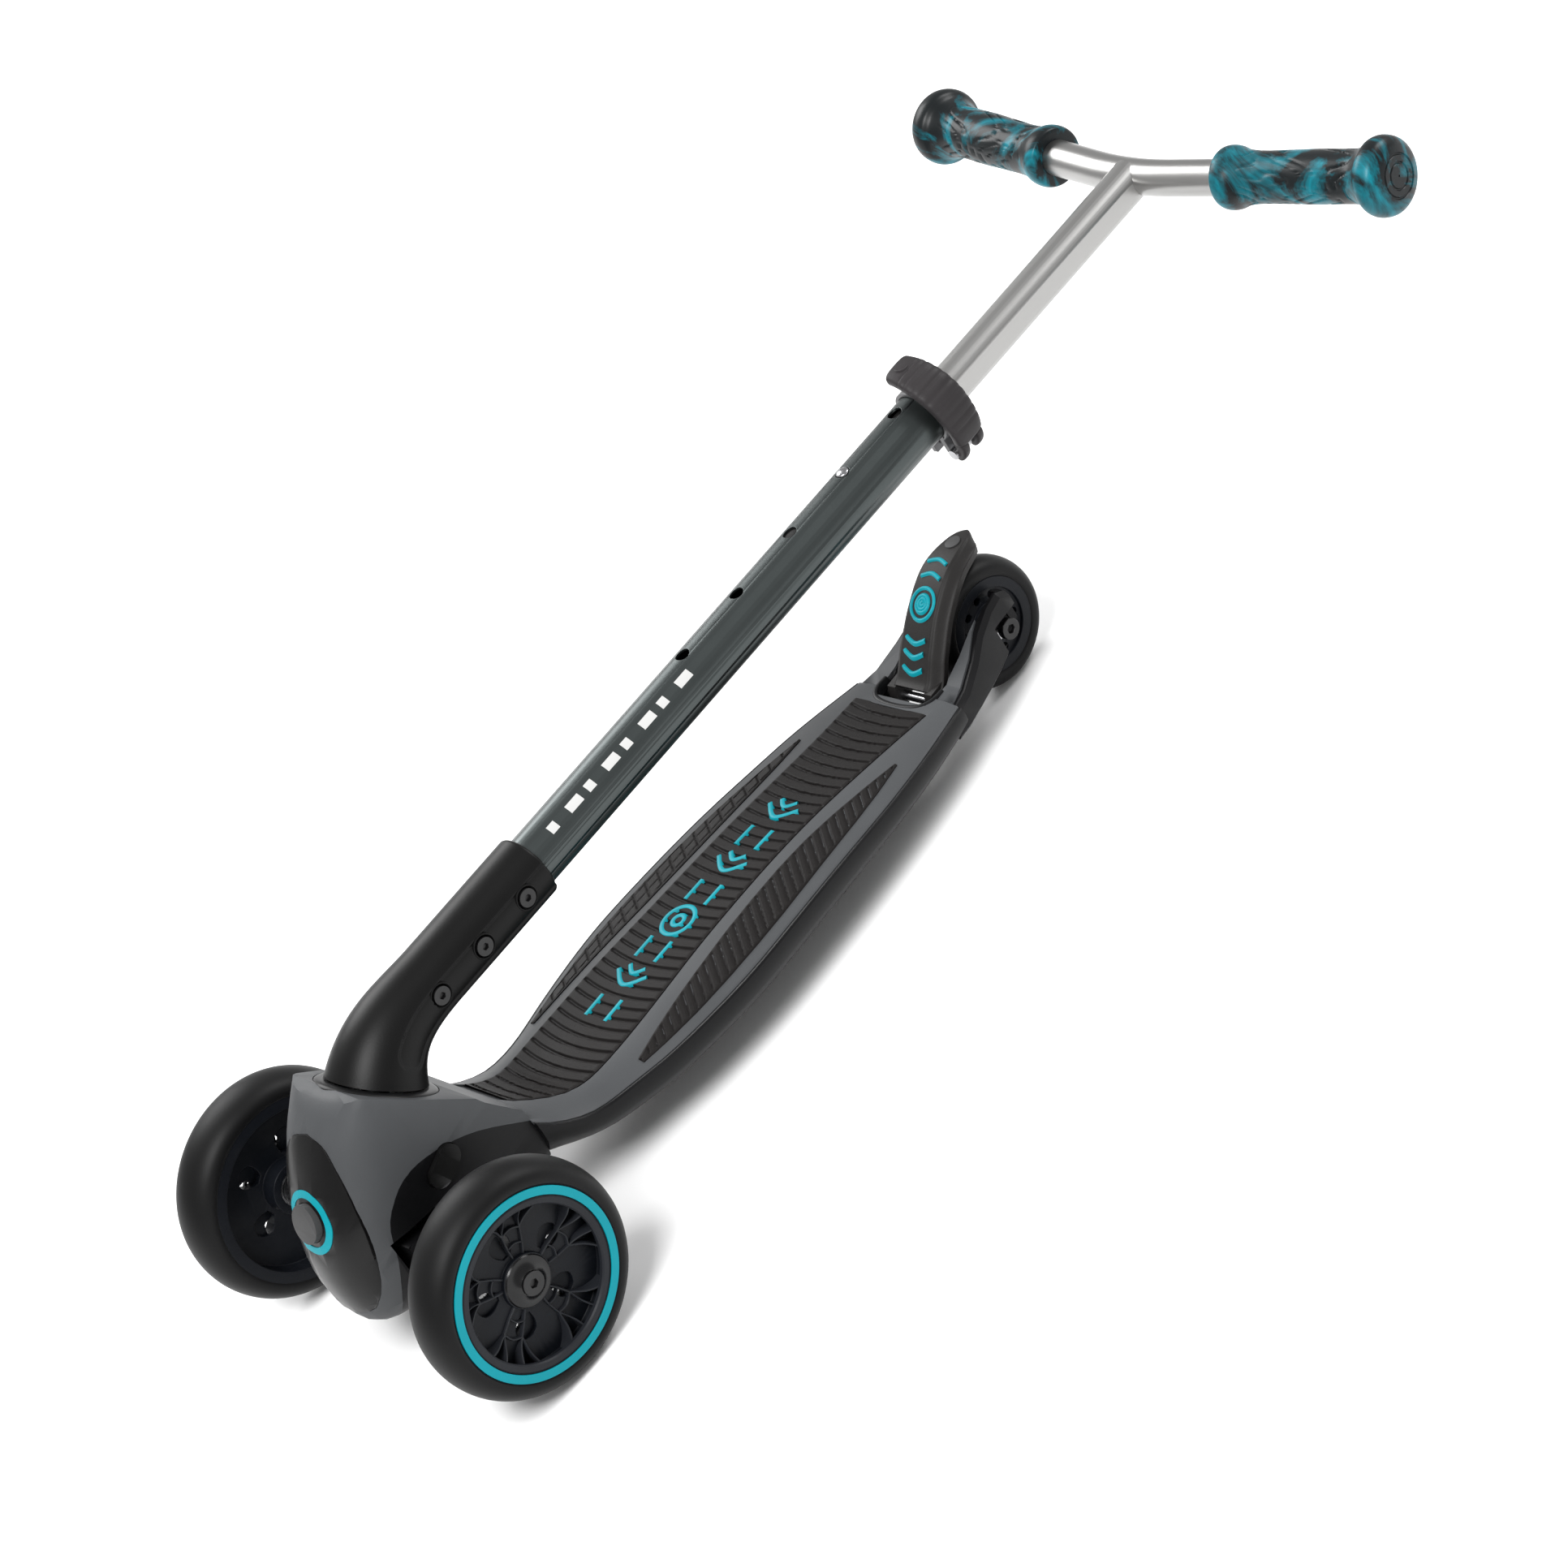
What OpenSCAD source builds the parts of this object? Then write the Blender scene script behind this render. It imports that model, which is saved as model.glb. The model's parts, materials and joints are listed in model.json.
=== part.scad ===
// Folding three-wheel kick scooter, lean to steer, shown folded with the T-bar along the deck.
// Forward is -Y, the rider's left is +X and up is +Z. Lengths are in millimetres.

/* [Front wheels] */
// Diameter over the front tyres
front_d = 136; // [116:1:160]
// Width of a front tyre
front_w = 34; // [28:1:40]
// Distance between the middle planes of the front wheels
track = 228; // [215:1:270]
// Depth of a front tyre, from its tread to the rim
front_tyre_deep = 16; // [12:1:20]
// Thickness of the rim round the dished web
front_rim_t = 3; // [2:0.5:5]
// Distance from the tread to the outer edge of the teal ring
ring_in = 13; // [11:1:15]
// Radial width of the coloured ring
ring_w = 5; // [3:0.5:6]

/* [Rear wheel] */
// Diameter over the rear tyre
rear_d = 82; // [74:1:94]
// Width of the rear tyre
rear_w = 26; // [22:1:28]
// Diameter of the rim that carries the rear tyre
rear_rim_d = 54; // [46:1:60]
// Distance from the front axles to the rear axle
wheelbase = 517; // [480:1:620]

/* [Bearings and axles] */
// Outer diameter of a wheel bearing
bearing_d = 22; // [19:1:26]
// Bore of a wheel bearing
bearing_bore = 8; // [6:1:10]
// Width of a wheel bearing
bearing_w = 7; // [6:1:8]
// Radial clearance of a running fit
run_fit = 0.05; // [0.02:0.01:0.1]
// Gap left between neighbours that don't touch
gap = 0.4; // [0.3:0.1:0.8]

/* [Deck] */
// Height of the deck's crown above the ground
deck_z = 62; // [58:1:70]
// Half of the deck's greatest width, at the grey border
deck_half = 69; // [60:1:80]
// How far the side rail stands out past the border
rail_out = 3; // [1:0.5:6]
// Height of the deck's underside above the ground
deck_under = 28; // [24:1:32]
// Drop of the deck from its crown to the border's edge
crown = 9; // [5:0.5:12]
// Thickness of the top shell
shell_t = 3; // [2:0.5:5]
// Half width of the centre mat at its waist
mat_half = 28; // [24:1:32]
// How far the mats stand above the shell
mat_rise = 1; // [0.5:0.25:2]
// Width of a rear fork arm
fork_w = 11; // [8:0.5:14]

/* [Nose] */
// Half width of the nose
nose_half = 46; // [40:1:50]
// Outer diameter of the black collar round the fold pivot
collar_d = 70; // [64:1:74]
// Angle of the fold pivot above the deck
fold_angle = 45; // [42:0.5:48]
// Distance of the collar's centre behind the front axles
collar_y = 41.5; // [38:0.5:48]
// Height of the collar's centre above the ground
collar_z = 144; // [140:1:150]
// Diameter of the steering lock button
lock_d = 23; // [18:1:28]

/* [Steering] */
// Distance between the two kingpins
kingpin_span = 144; // [136:1:156]
// Forward lean of the kingpins' tops
kingpin_lean = 20; // [10:1:35]
// Diameter of a kingpin
kingpin_d = 10; // [8:1:12]
// Distance from a kingpin to its tie rod joint
steer_arm = 30; // [24:1:34]

/* [T-bar] */
// Outer diameter of the outer tube
tube_d = 33; // [32:0.5:36]
// Wall of the outer tube
tube_wall = 1.5; // [1.2:0.1:2]
// Outer diameter of the inner tube
inner_d = 25.4; // [22:0.2:27]
// Size of the inner tube across its two flats
inner_flats = 22.9; // [20:0.1:24]
// Wall of the inner tube
inner_wall = 2; // [1.5:0.1:2.5]
// Distance between height holes
hole_pitch = 50; // [40:1:55]
// Number of height holes
hole_count = 5; // [4:1:5]
// Diameter of a height hole
hole_d = 9; // [8:0.5:11]
// Hole that the snap button sits in, counted from the top
hole_used = 2; // [1:1:4]
// Distance from the bend of the stem base to the top of the outer tube
tube_top = 512; // [470:1:560]
// Distance from the bend of the stem base to the top of its sleeve
sleeve_top = 131; // [120:1:150]
// Wall of the stem base's sleeve
sleeve_wall = 4.25; // [3.5:0.25:6]
// Distance from the middle of the handlebar to the snap button
bar_above = 272; // [250:1:300]
// Angle of the folded T-bar above the deck
tbar_tilt = 0.8; // [0:0.1:2]

/* [Handlebar] */
// Diameter of the handlebar
bar_d = 22.2; // [22:0.1:25.4]
// Handlebar wall
bar_wall = 2; // [1.5:0.1:3]
// Distance from the handlebar's middle to the end of a grip
bar_half = 204; // [180:1:250]
// Angle by which each half of the handlebar rises
bar_rise = 7.5; // [4:0.5:15]
// Length of a grip
grip_len = 129; // [105:1:135]
// Diameter of a grip's barrel
grip_d = 32; // [29:0.5:36]
// Diameter of a grip's end flange
flange_d = 48; // [42:1:54]

/* [Clamp] */
// Thickness of the clamp band
band_t = 2.5; // [2:0.5:3.5]
// Height of the clamp band along the tube
band_h = 14; // [12:1:18]

/* [Brake] */
// Height of the brake's tip above the ground
brake_tip_z = 96; // [90:1:112]
// Half width of the brake pad over the wheel
brake_half = 21; // [18:1:24]
// Thickness of the brake pad
brake_t = 6; // [4:0.5:8]
// Diameter of the brake's hinge pin
brake_pin_d = 6; // [5:0.5:8]

/* [Hidden] */
$fn = 64;
eps = 0.01;

front_r = front_d / 2;
rear_r = rear_d / 2;
half_track = track / 2;

// Curve through hand-chosen points, by the Catmull-Rom rule.
function mixed(a, b, c, d, t) =
    0.5 * (2 * b + (c - a) * t + (2 * a - 5 * b + 4 * c - d) * t * t
    + (3 * b - a - 3 * c + d) * t * t * t);
function smooth(p, n) = [
    for (i = [0:len(p) - 2], j = [0:n - 1])
        mixed(p[max(i - 1, 0)], p[i], p[i + 1], p[min(i + 2, len(p) - 1)], j / n),
    p[len(p) - 1]
];

// Fold pivot: the T-bar turns half a turn about this axis.
collar_r = collar_d / 2;
bend_rise = 28;
bend_y = collar_y + bend_rise * cos(fold_angle);
bend_z = collar_z + bend_rise * sin(fold_angle);
module at_collar() {
    translate([0, collar_y, collar_z]) rotate([fold_angle - 90, 0, 0]) children();
}
// T-bar frame: +Z runs up the T-bar from the bend, -Y faces away from the deck.
module at_tbar() {
    translate([0, bend_y, bend_z]) rotate([tbar_tilt - 90, 0, 0]) children();
}

// Extent of the whole scooter, which centres it over the origin.
hole_top = sleeve_top + 351;
button_h = hole_top - (hole_used - 1) * hole_pitch;
bar_h = button_h + bar_above;
flange_at = bar_half - 12;
grip_end_h = bar_h + flange_at * sin(bar_rise) + flange_d / 2 * cos(bar_rise);
rear_end = bend_y + grip_end_h * cos(tbar_tilt) + flange_d / 2 * sin(tbar_tilt);
mid_y = (rear_end - front_r) / 2;
module place() {
    translate([0, -mid_y, 0]) children();
}

// Solid through a row of rings with the same number of points.
module loft(rings) {
    n = len(rings[0]);
    m = len(rings);
    polyhedron(
        points = [for (r = rings) each r],
        faces = concat(
            [[for (j = [0:n - 1]) j]],
            [for (i = [0:m - 2], j = [0:n - 1])
                [i * n + j, (i + 1) * n + j, (i + 1) * n + (j + 1) % n]],
            [for (i = [0:m - 2], j = [0:n - 1])
                [i * n + j, (i + 1) * n + (j + 1) % n, i * n + (j + 1) % n]],
            [[for (j = [n - 1:-1:0]) (m - 1) * n + j]]));
}
module side_slab(outline, half) {
    rotate([90, 0, 90]) translate([0, 0, -half]) linear_extrude(2 * half) polygon(outline);
}
// Cylinder along X, centred on the scooter's middle plane.
module across(y, z, d, length) {
    translate([-length / 2, y, z]) rotate([0, 90, 0]) cylinder(d = d, h = length);
}

// ---- Deck ----------------------------------------------------------------

joint_y = 84;
deck_end = wheelbase - 67;
// Half width of the border, as [y, half width].
edge_line = smooth([
    [joint_y, 47.5], [100, 49.5], [138, 54], [176, 63], [222, deck_half], [262, deck_half],
    [338, deck_half - 5], [400, deck_half - 12.5], [deck_end, deck_half - 24]
], 4);
// Height of the crown.
crown_line = smooth([
    [66, deck_z + 56], [joint_y, deck_z + 29], [100, deck_z + 12.5], [120, deck_z + 1],
    [150, deck_z - 1.5], [220, deck_z], [290, deck_z - 0.5], [340, deck_z - 3],
    [400, deck_z - 9], [deck_end, deck_z - 14]
], 4);
// Height of the underside.
belly_line = concat(smooth([
    [60, deck_under + 30], [joint_y, deck_under + 23], [120, deck_under + 8],
    [140, deck_under + 2.5], [160, deck_under]
], 4), [[deck_end, deck_under]]);
// Share of the full drop from crown to border, along the deck.
drop_line = smooth([
    [joint_y, 1], [120, 0.7], [160, 0.9], [220, 1], [300, 0.9], [360, 0.72], [400, 0.45],
    [deck_end, 0.2]
], 3);
// Half width of the centre mat.
mat_line = smooth([
    [66, 17], [joint_y, 19.5], [102, 24], [128, 33], [160, mat_half + 6.5], [200, mat_half + 5],
    [240, mat_half + 2], [290, mat_half], [350, mat_half - 0.7], [400, mat_half + 1],
    [deck_end - 14, mat_half + 4]
], 3);
function edge_at(y) = lookup(y, edge_line);
function crown_at(y) = lookup(y, crown_line);
function belly_at(y) = lookup(y, belly_line);
function flat_at(y) = lookup(y, mat_line) + 1.5;
function drop_at(y) = crown * lookup(y, drop_line);
function border_at(y) = crown_at(y) - drop_at(y);
function skin_at(x, y) =
    crown_at(y) - drop_at(y) * max(0, (abs(x) - flat_at(y)) / (edge_at(y) - flat_at(y)));
stations = concat([joint_y], [for (y = [92:8:deck_end - 4]) y], [deck_end]);

function both(p, y) = [
    for (q = p) [q[0], y, q[1]], for (i = [len(p) - 1:-1:0]) [-p[i][0], y, p[i][1]]
];
function frame_ring(y) = let (e = edge_at(y) + rail_out, zt = border_at(y), zb = belly_at(y),
    r = min(22, zt - zb - 6)) both([
        [edge_at(y) + gap, zt - shell_t - 0.2], [edge_at(y) + gap, zt - 1], [e - 1, zt - 1], [e, zt - 2],
        for (a = [0:22.5:90]) [e - r + r * cos(a), zb + r - r * sin(a)]
    ], y);
function shell_ring(y) = both([
    [flat_at(y), crown_at(y)], [edge_at(y) - 0.8, border_at(y)], [edge_at(y), border_at(y) - 0.8],
    [edge_at(y), border_at(y) - shell_t], [flat_at(y), crown_at(y) - shell_t]
], y);

// Side arms of the rear fork, as [y, inner x, outer x, low z, high z].
fork_in = rear_w / 2 + 2;
arm_foot = border_at(deck_end) - shell_t - 0.1;
fork_rows = [
    [deck_end - 10, fork_in + 6, 47, deck_under, arm_foot],
    [deck_end + gap, fork_in + 6.5, 46, deck_under, arm_foot],
    [deck_end + gap + 0.2, fork_in + 6.5, 46, deck_under, deck_z - 16.5],
    [deck_end + 12, fork_in + 7, 43, deck_under, deck_z - 16],
    [wheelbase - 37, fork_in, 38, deck_under, deck_z - 10],
    [wheelbase - 22, fork_in, fork_in + fork_w + 7, deck_under, deck_z - 3],
    [wheelbase - 7, fork_in, fork_in + fork_w + 4, deck_under + 3, deck_z + 2],
    [wheelbase + 4, fork_in, fork_in + fork_w + 3, deck_under + 7, deck_z + 4],
    [wheelbase + 11, fork_in, fork_in + fork_w + 2, deck_under + 13, deck_z]
];
module fork_arm(s) {
    loft([for (r = fork_rows) let (c = 3, a = s > 0 ? r[1] : -r[2], b = s > 0 ? r[2] : -r[1]) [
        [a, r[0], r[3] + c], [a, r[0], r[4] - c], [a + c, r[0], r[4]], [b - c, r[0], r[4]],
        [b, r[0], r[4] - c], [b, r[0], r[3] + c], [b - c, r[0], r[3]], [a + c, r[0], r[3]]
    ]]);
}
brake_pin_y = wheelbase - 62;
brake_pin_z = deck_under + 10;
pocket_y = brake_pin_y - 12;
screw_d = 4;
screw_head_d = 7;
screw_head_h = 1.8;
screw_sunk = 0.3;
screw_len = 15.9;
screw_spots = [for (s = [-1, 1], y = [168, 232, 296, 360, 424]) [s * 30, y]];
axle_seat_x = fork_in + 8;

module deck_frame() {
    color([0.11, 0.11, 0.12]) place() difference() {
        union() {
            loft([for (y = stations) frame_ring(y)]);
            for (s = [-1, 1]) fork_arm(s);
            nose_part(black_side);
        }
        for (i = [0:3]) hull() for (x = [-27, 27], y = [180, 220])
            translate([x, y + i * 64, deck_under - 1]) cylinder(r = 6, h = 9, $fn = 24);
        across(wheelbase, rear_r, bearing_bore + 2 * run_fit, 120);
        for (s = [-1, 1]) translate([s * (axle_seat_x + 15), wheelbase + 4, rear_r])
            cube([30, 30, 22], center = true);
        across(wheelbase, rear_r, rear_d + 8, 2 * fork_in);
        across(brake_pin_y, brake_pin_z, brake_pin_d + 2 * run_fit, 2 * pin_half + gap);
        translate([-brake_half - 3, pocket_y, deck_under + 4]) cube([2 * brake_half + 6, 80, 60]);
        for (p = screw_spots) translate([p[0], p[1], deck_under - 5]) {
            hull() {
                cylinder(d = screw_d + 2 * run_fit, h = 22, $fn = 32);
                cylinder(d = 1, h = 24, $fn = 16);
            }
            cylinder(d = screw_head_d + 2 * run_fit, h = 5 + screw_sunk + screw_head_h + 0.2, $fn = 32);
        }
        nose_works();
    }
}
pin_half = brake_half + 12;

module underside_screws() {
    color([0.5, 0.5, 0.52]) place() for (p = screw_spots)
        translate([p[0], p[1], deck_under + screw_sunk]) {
            cylinder(d = screw_head_d, h = screw_head_h);
            cylinder(d = screw_d, h = screw_len);
        }
}

module mat_plan(grow, front) {
    rows = [for (p = mat_line) if (p[0] > front) p];
    polygon(concat([for (p = rows) [p[1] + grow, p[0]]],
        [for (i = [len(rows) - 1:-1:0]) [-rows[i][1] - grow, rows[i][0]]]));
}
module skin_band(low, high, front) {
    rows = [for (p = crown_line) if (p[0] > front) p];
    side_slab(concat([for (p = rows) [p[0], p[1] + low]],
        [for (i = [len(rows) - 1:-1:0]) [rows[i][0], rows[i][1] + high]]), 60);
}
mat_deep = 1.5;
fork_skin_rows = [
    [deck_end - 3, 24, 41], [deck_end + gap, 24, 40], [deck_end + gap + 0.3, 24, 40],
    [deck_end + 12, 25, 37],
    [wheelbase - 37, fork_in + 5, 32],
    [wheelbase - 22, fork_in + 4, 26], [wheelbase - 9, fork_in + 5, 22]
];
function arm_top(y) = y < deck_end + gap ? arm_foot : lookup(y, [for (r = fork_rows) [r[0], r[4]]]);
module deck_shell() {
    color([0.36, 0.37, 0.38]) place() difference() {
        union() {
            loft([for (y = stations) shell_ring(y)]);
            for (s = [-1, 1], i = [0:len(fork_skin_rows) - 2]) hull() for (r = [
                fork_skin_rows[i], fork_skin_rows[i + 1]
            ]) translate([s > 0 ? r[1] : -r[2], r[0], arm_top(r[0]) + 0.05])
                cube([r[2] - r[1], eps, 1.6]);
        }
        intersection() {
            skin_band(-mat_deep, 5, joint_y - 5);
            linear_extrude(200) mat_plan(0.2, 10);
        }
        translate([-brake_half - 3, pocket_y, deck_under]) cube([2 * brake_half + 6, 80, 60]);
    }
}
module centre_mat() {
    color([0.09, 0.08, 0.08]) place() intersection() {
        skin_band(-mat_deep, mat_rise, joint_y + 1);
        linear_extrude(200) mat_plan(0, joint_y + 1);
        translate([-100, joint_y + 1, 0]) cube([200, pocket_y - 2 - joint_y, 200]);
    }
}
// Inner and outer edges of a side mat, as [y, inner x, outer x].
leaf_rows = [
    [152, 50, 52.5], [175, 46.5, 57], [200, 43.5, 60.5], [225, 41, 62], [250, 38.5, 62],
    [275, 37, 61], [300, 36, 59], [325, 36, 56.5], [350, 37.5, 53.5], [375, 40, 49.5], [396, 43, 45]
];
lift = 0.15;
leaf_in = [for (r = leaf_rows) [r[0], r[1]]];
leaf_out = [for (r = leaf_rows) [r[0], r[2]]];
leaf_spots = [for (y = stations) if (y > 150 && y < 398) [y, lookup(y, leaf_in), lookup(y, leaf_out)]];
module side_mat(s) {
    color([0.1, 0.1, 0.11]) place() loft([for (r = leaf_spots)
        let (a = s > 0 ? r[1] : -r[2], b = s > 0 ? r[2] : -r[1]) [
            [a, r[0], skin_at(a, r[0]) + lift], [a, r[0], skin_at(a, r[0]) + mat_rise],
            [b, r[0], skin_at(b, r[0]) + mat_rise], [b, r[0], skin_at(b, r[0]) + lift]
        ]]);
}
module side_mat_left() side_mat(1);
module side_mat_right() side_mat(-1);

// ---- Nose ----------------------------------------------------------------

// Level sections of the nose, as [z, half width, front y].
nose_rows = smooth([
    [38, nose_half - 20, -41], [46, nose_half - 9, -48], [62, nose_half - 2, -51],
    [80, nose_half, -50], [100, nose_half, -45], [120, nose_half - 1.5, -36],
    [140, nose_half - 5, -22.5], [155, nose_half - 8.5, -9], [168, nose_half - 12, 8]
], 2);
nose_mid = 26;
nose_back = joint_y;
function power(v, k) = sign(v) * pow(abs(v), k);
function nose_ring(row, wall) = let (w = row[1] - wall, f = nose_mid - row[2] - wall, k = 0.82) [
    [-w, nose_back + 1, row[0]],
    for (a = [-180:12:0]) [w * power(cos(a), k), nose_mid + f * power(sin(a), k), row[0]],
    [w, nose_back + 1, row[0]]
];
module nose_solid(wall) {
    loft([for (r = nose_rows) nose_ring(r, wall)]);
}
// Side view of the nose above the deck: collar plane, then the crown's slope.
top_line = concat([[-70, 200], [-20, 200],
    [collar_y - 41 * sin(fold_angle), collar_z + 41 * cos(fold_angle)],
    [collar_y + (collar_r + 0.5) * sin(fold_angle), collar_z - (collar_r + 0.5) * cos(fold_angle)]],
    [for (p = crown_line) if (p[0] > 68 && p[0] < joint_y) p], [[joint_y, crown_at(joint_y)]]);
// Border between the grey nose and its black sides, seen from the side.
side_line = smooth([
    [-38, 30], [-33, 56], [-24, 80], [-14, 104], [6, 118], [30, 116], [56, 104],
    [joint_y, border_at(joint_y)]
], 4);
under_line = smooth([
    [-38, 37], [-20, 36], [22, 38], [36, 52], [52, 60], [70, 57], [joint_y, belly_at(joint_y)]
], 3);
grey_side = concat(top_line, [for (i = [len(side_line) - 1:-1:0]) side_line[i]], [[-70, 30]]);
black_side = concat(side_line, [for (i = [len(under_line) - 1:-1:1]) under_line[i]]);
module nose_part(outline) {
    difference() {
        intersection() {
            nose_solid(0);
            side_slab(outline, 60);
        }
        intersection() {
            nose_solid(3);
            side_slab([[-60, 42], [22, 42], [36, 56], [60, 63], [joint_y - 4, 58],
                [joint_y - 4, crown_at(joint_y) - 5], [66, 112], [collar_y, collar_z - 8],
                [8, 164], [-60, 164]], 55);
        }
    }
}
// Room for the moving parts that pass through the nose.
module nose_works() {
    at_collar() translate([0, 0, -80]) cylinder(d = pivot_tube_d + 2 * gap, h = 100);
    translate([-60, -22, axle_z - 22]) cube([120, 50, 46]);
    translate([-60, 20, axle_z - 4]) cube([120, 24, 20]);
    button_blank(gap);
}
axle_z = front_r;
pivot_d = 16;
pivot_tube_d = 44;
button_y = 28;
button_z = 106;
module at_fold_button() {
    translate([nose_half, button_y, button_z]) rotate([0, 90, 0]) children();
}
// The badge lies on the nose's face.
badge_y = -39;
badge_z = 116;
badge_tilt = 28;
module at_badge() {
    translate([0, badge_y, badge_z]) rotate([90 - badge_tilt, 0, 0]) children();
}
badge_t = 2;
module badge_zone(grow) {
    rows = smooth([[0, 50], [17, 44], [29, 22], [34, -6], [31, -34], [20, -54], [0, -60]], 5);
    offset(grow) polygon(concat(rows, [for (i = [len(rows) - 2:-1:1]) [-rows[i][0], rows[i][1]]]));
}
module badge_prism(grow, depth) {
    at_badge() translate([0, 0, -depth]) linear_extrude(depth + 40) badge_zone(grow);
}
module nose_shell() {
    color([0.36, 0.37, 0.38]) place() difference() {
        nose_part(grey_side);
        intersection() {
            badge_prism(0.2, 60);
            difference() {
                nose_solid(-5);
                nose_solid(badge_t);
            }
            translate([-60, -60, 0]) cube([120, 66, 200]);
        }
        at_badge() cylinder(d = lock_d + 2 * gap, h = 60, center = true);
        nose_works();
        at_collar() translate([0, 0, -6]) cylinder(d = collar_d + 0.4, h = 30);
    }
}
module nose_badge() {
    color([0.1, 0.1, 0.11]) place() difference() {
        intersection() {
            badge_prism(0, 60);
            difference() {
                nose_solid(-0.6);
                nose_solid(badge_t);
            }
            translate([-60, -60, 0]) cube([120, 66, 200]);
        }
        at_badge() cylinder(d = lock_d + 2 * gap, h = 60, center = true);
        at_badge() ring_blank(0.1);
    }
}
badge_ring_d = 38;
module ring_blank(grow) {
    translate([0, 0, -4]) difference() {
        cylinder(d = badge_ring_d + 2 * grow, h = 40);
        translate([0, 0, -1]) cylinder(d = badge_ring_d - 9 - 2 * grow, h = 42);
    }
}
module badge_ring() {
    color([0, 0.6, 0.66]) place() intersection() {
        at_badge() ring_blank(0);
        difference() {
            nose_solid(-1);
            nose_solid(1);
        }
    }
}
module collar_bezel() {
    color([0.1, 0.1, 0.11]) place() at_collar() translate([0, 0, -6]) rotate_extrude() polygon([
        [pivot_tube_d / 2 + gap, 0], [collar_r, 0], [collar_r, 6.5], [collar_r - 4, 10],
        [sleeve_base_r + gap, 10], [sleeve_base_r + gap, 7], [pivot_tube_d / 2 + gap, 7]
    ]);
}
sleeve_base_r = 29.5;

// ---- Inside the nose -----------------------------------------------------

housing_len = 46;
module fold_housing() {
    color([0.6, 0.6, 0.62]) place() difference() {
        union() {
            at_collar() translate([0, 0, -housing_len - 6]) cylinder(d = pivot_tube_d, h = housing_len);
            translate([-14, 20, 92]) cube([28, 26, 14]);
        }
        at_collar() translate([0, 0, -90]) cylinder(d = pivot_d + 2 * run_fit, h = 120);
        translate([0, button_y, button_z]) rotate([0, 90, 0]) cylinder(d = 9, h = 60);
    }
}
beam_z = axle_z;
module at_kingpin(s) {
    translate([s * kingpin_span / 2, 0, beam_z]) rotate([kingpin_lean, 0, 0]) children();
}
ear_h = 6;
ear_gap = 26;
module truck_beam() {
    color([0.13, 0.13, 0.14]) place() difference() {
        union() {
            translate([-nose_half + 4, -16, beam_z - 14]) cube([2 * nose_half - 8, 36, 30]);
            for (s = [-1, 1]) for (e = [-1, 1]) hull() {
                at_kingpin(s) translate([0, 0, e * (ear_gap + ear_h) / 2])
                    cylinder(d = kingpin_d + 10, h = ear_h, center = true, $fn = 32);
                translate([s * (nose_half - 8), e * -4, beam_z + e * 11])
                    cube([8, 24, 7], center = true);
            }
        }
        for (s = [-1, 1]) at_kingpin(s) {
            cylinder(d = kingpin_d + 2 * run_fit, h = 100, center = true);
            cylinder(d = kingpin_d + 12, h = ear_gap, center = true);
        }
        translate([-nose_half - 24, 13, axle_z - 3]) cube([2 * nose_half + 48, 30, 19]);
    }
}
module kingpins() {
    color([0.6, 0.6, 0.62]) place() for (s = [-1, 1]) at_kingpin(s) {
        cylinder(d = kingpin_d, h = ear_gap + 2 * ear_h + 4, center = true);
        translate([0, 0, ear_gap / 2 + ear_h + 2]) cylinder(d = kingpin_d + 5, h = 3);
    }
}
rod_drop = -2;
pin_d = 5;
module at_rod() {
    translate([0, 0, beam_z]) rotate([kingpin_lean, 0, 0]) translate([0, steer_arm, rod_drop]) children();
}
module knuckle(s) {
    boss_end = half_track - 14 - gap;
    color([0.16, 0.16, 0.17]) place() difference() {
        union() {
            at_kingpin(s) cylinder(d = kingpin_d + 9, h = ear_gap - 2 * gap, center = true);
            translate([s * kingpin_span / 2, 0, beam_z]) rotate([0, s * 90, 0])
                cylinder(d = 19, h = boss_end - kingpin_span / 2);
            at_kingpin(s) translate([-5, 0, -9]) cube([10, steer_arm, 4]);
            at_kingpin(s) translate([0, steer_arm, -9]) cylinder(d = 10, h = 4);
            at_kingpin(s) translate([0, steer_arm, -9]) cylinder(d = pin_d, h = 13);
        }
        at_kingpin(s) cylinder(d = kingpin_d + 2 * run_fit, h = 100, center = true);
        translate([s * (kingpin_span / 2 + 8), 0, beam_z]) rotate([0, s * 90, 0])
            cylinder(d = bearing_bore, h = 60);
    }
}
module knuckle_left() knuckle(1);
module knuckle_right() knuckle(-1);
module tie_rod() {
    color([0.55, 0.55, 0.57]) place() at_rod() difference() {
        union() {
            translate([-kingpin_span / 2, -4, -2.5]) cube([kingpin_span, 8, 5]);
            for (s = [-1, 1]) translate([s * kingpin_span / 2, 0, -2.5]) cylinder(d = 12, h = 5);
            translate([-4, -14, -2.5]) cube([8, 12, 5]);
        }
        translate([kingpin_span / 2, 0, -10]) cylinder(d = pin_d + 2 * run_fit, h = 20);
        translate([-kingpin_span / 2, 0, -10]) cylinder(d = pin_d + 1.6, h = 20);
    }
}
module centring_spring() {
    color([0.75, 0.3, 0.1]) place() at_rod() for (s = [-1, 1])
        translate([s * (4 + gap + 6), -9, 0]) rotate([0, 90, 0]) cylinder(d = 9, h = 12, center = true);
}

// ---- Wheels --------------------------------------------------------------

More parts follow.
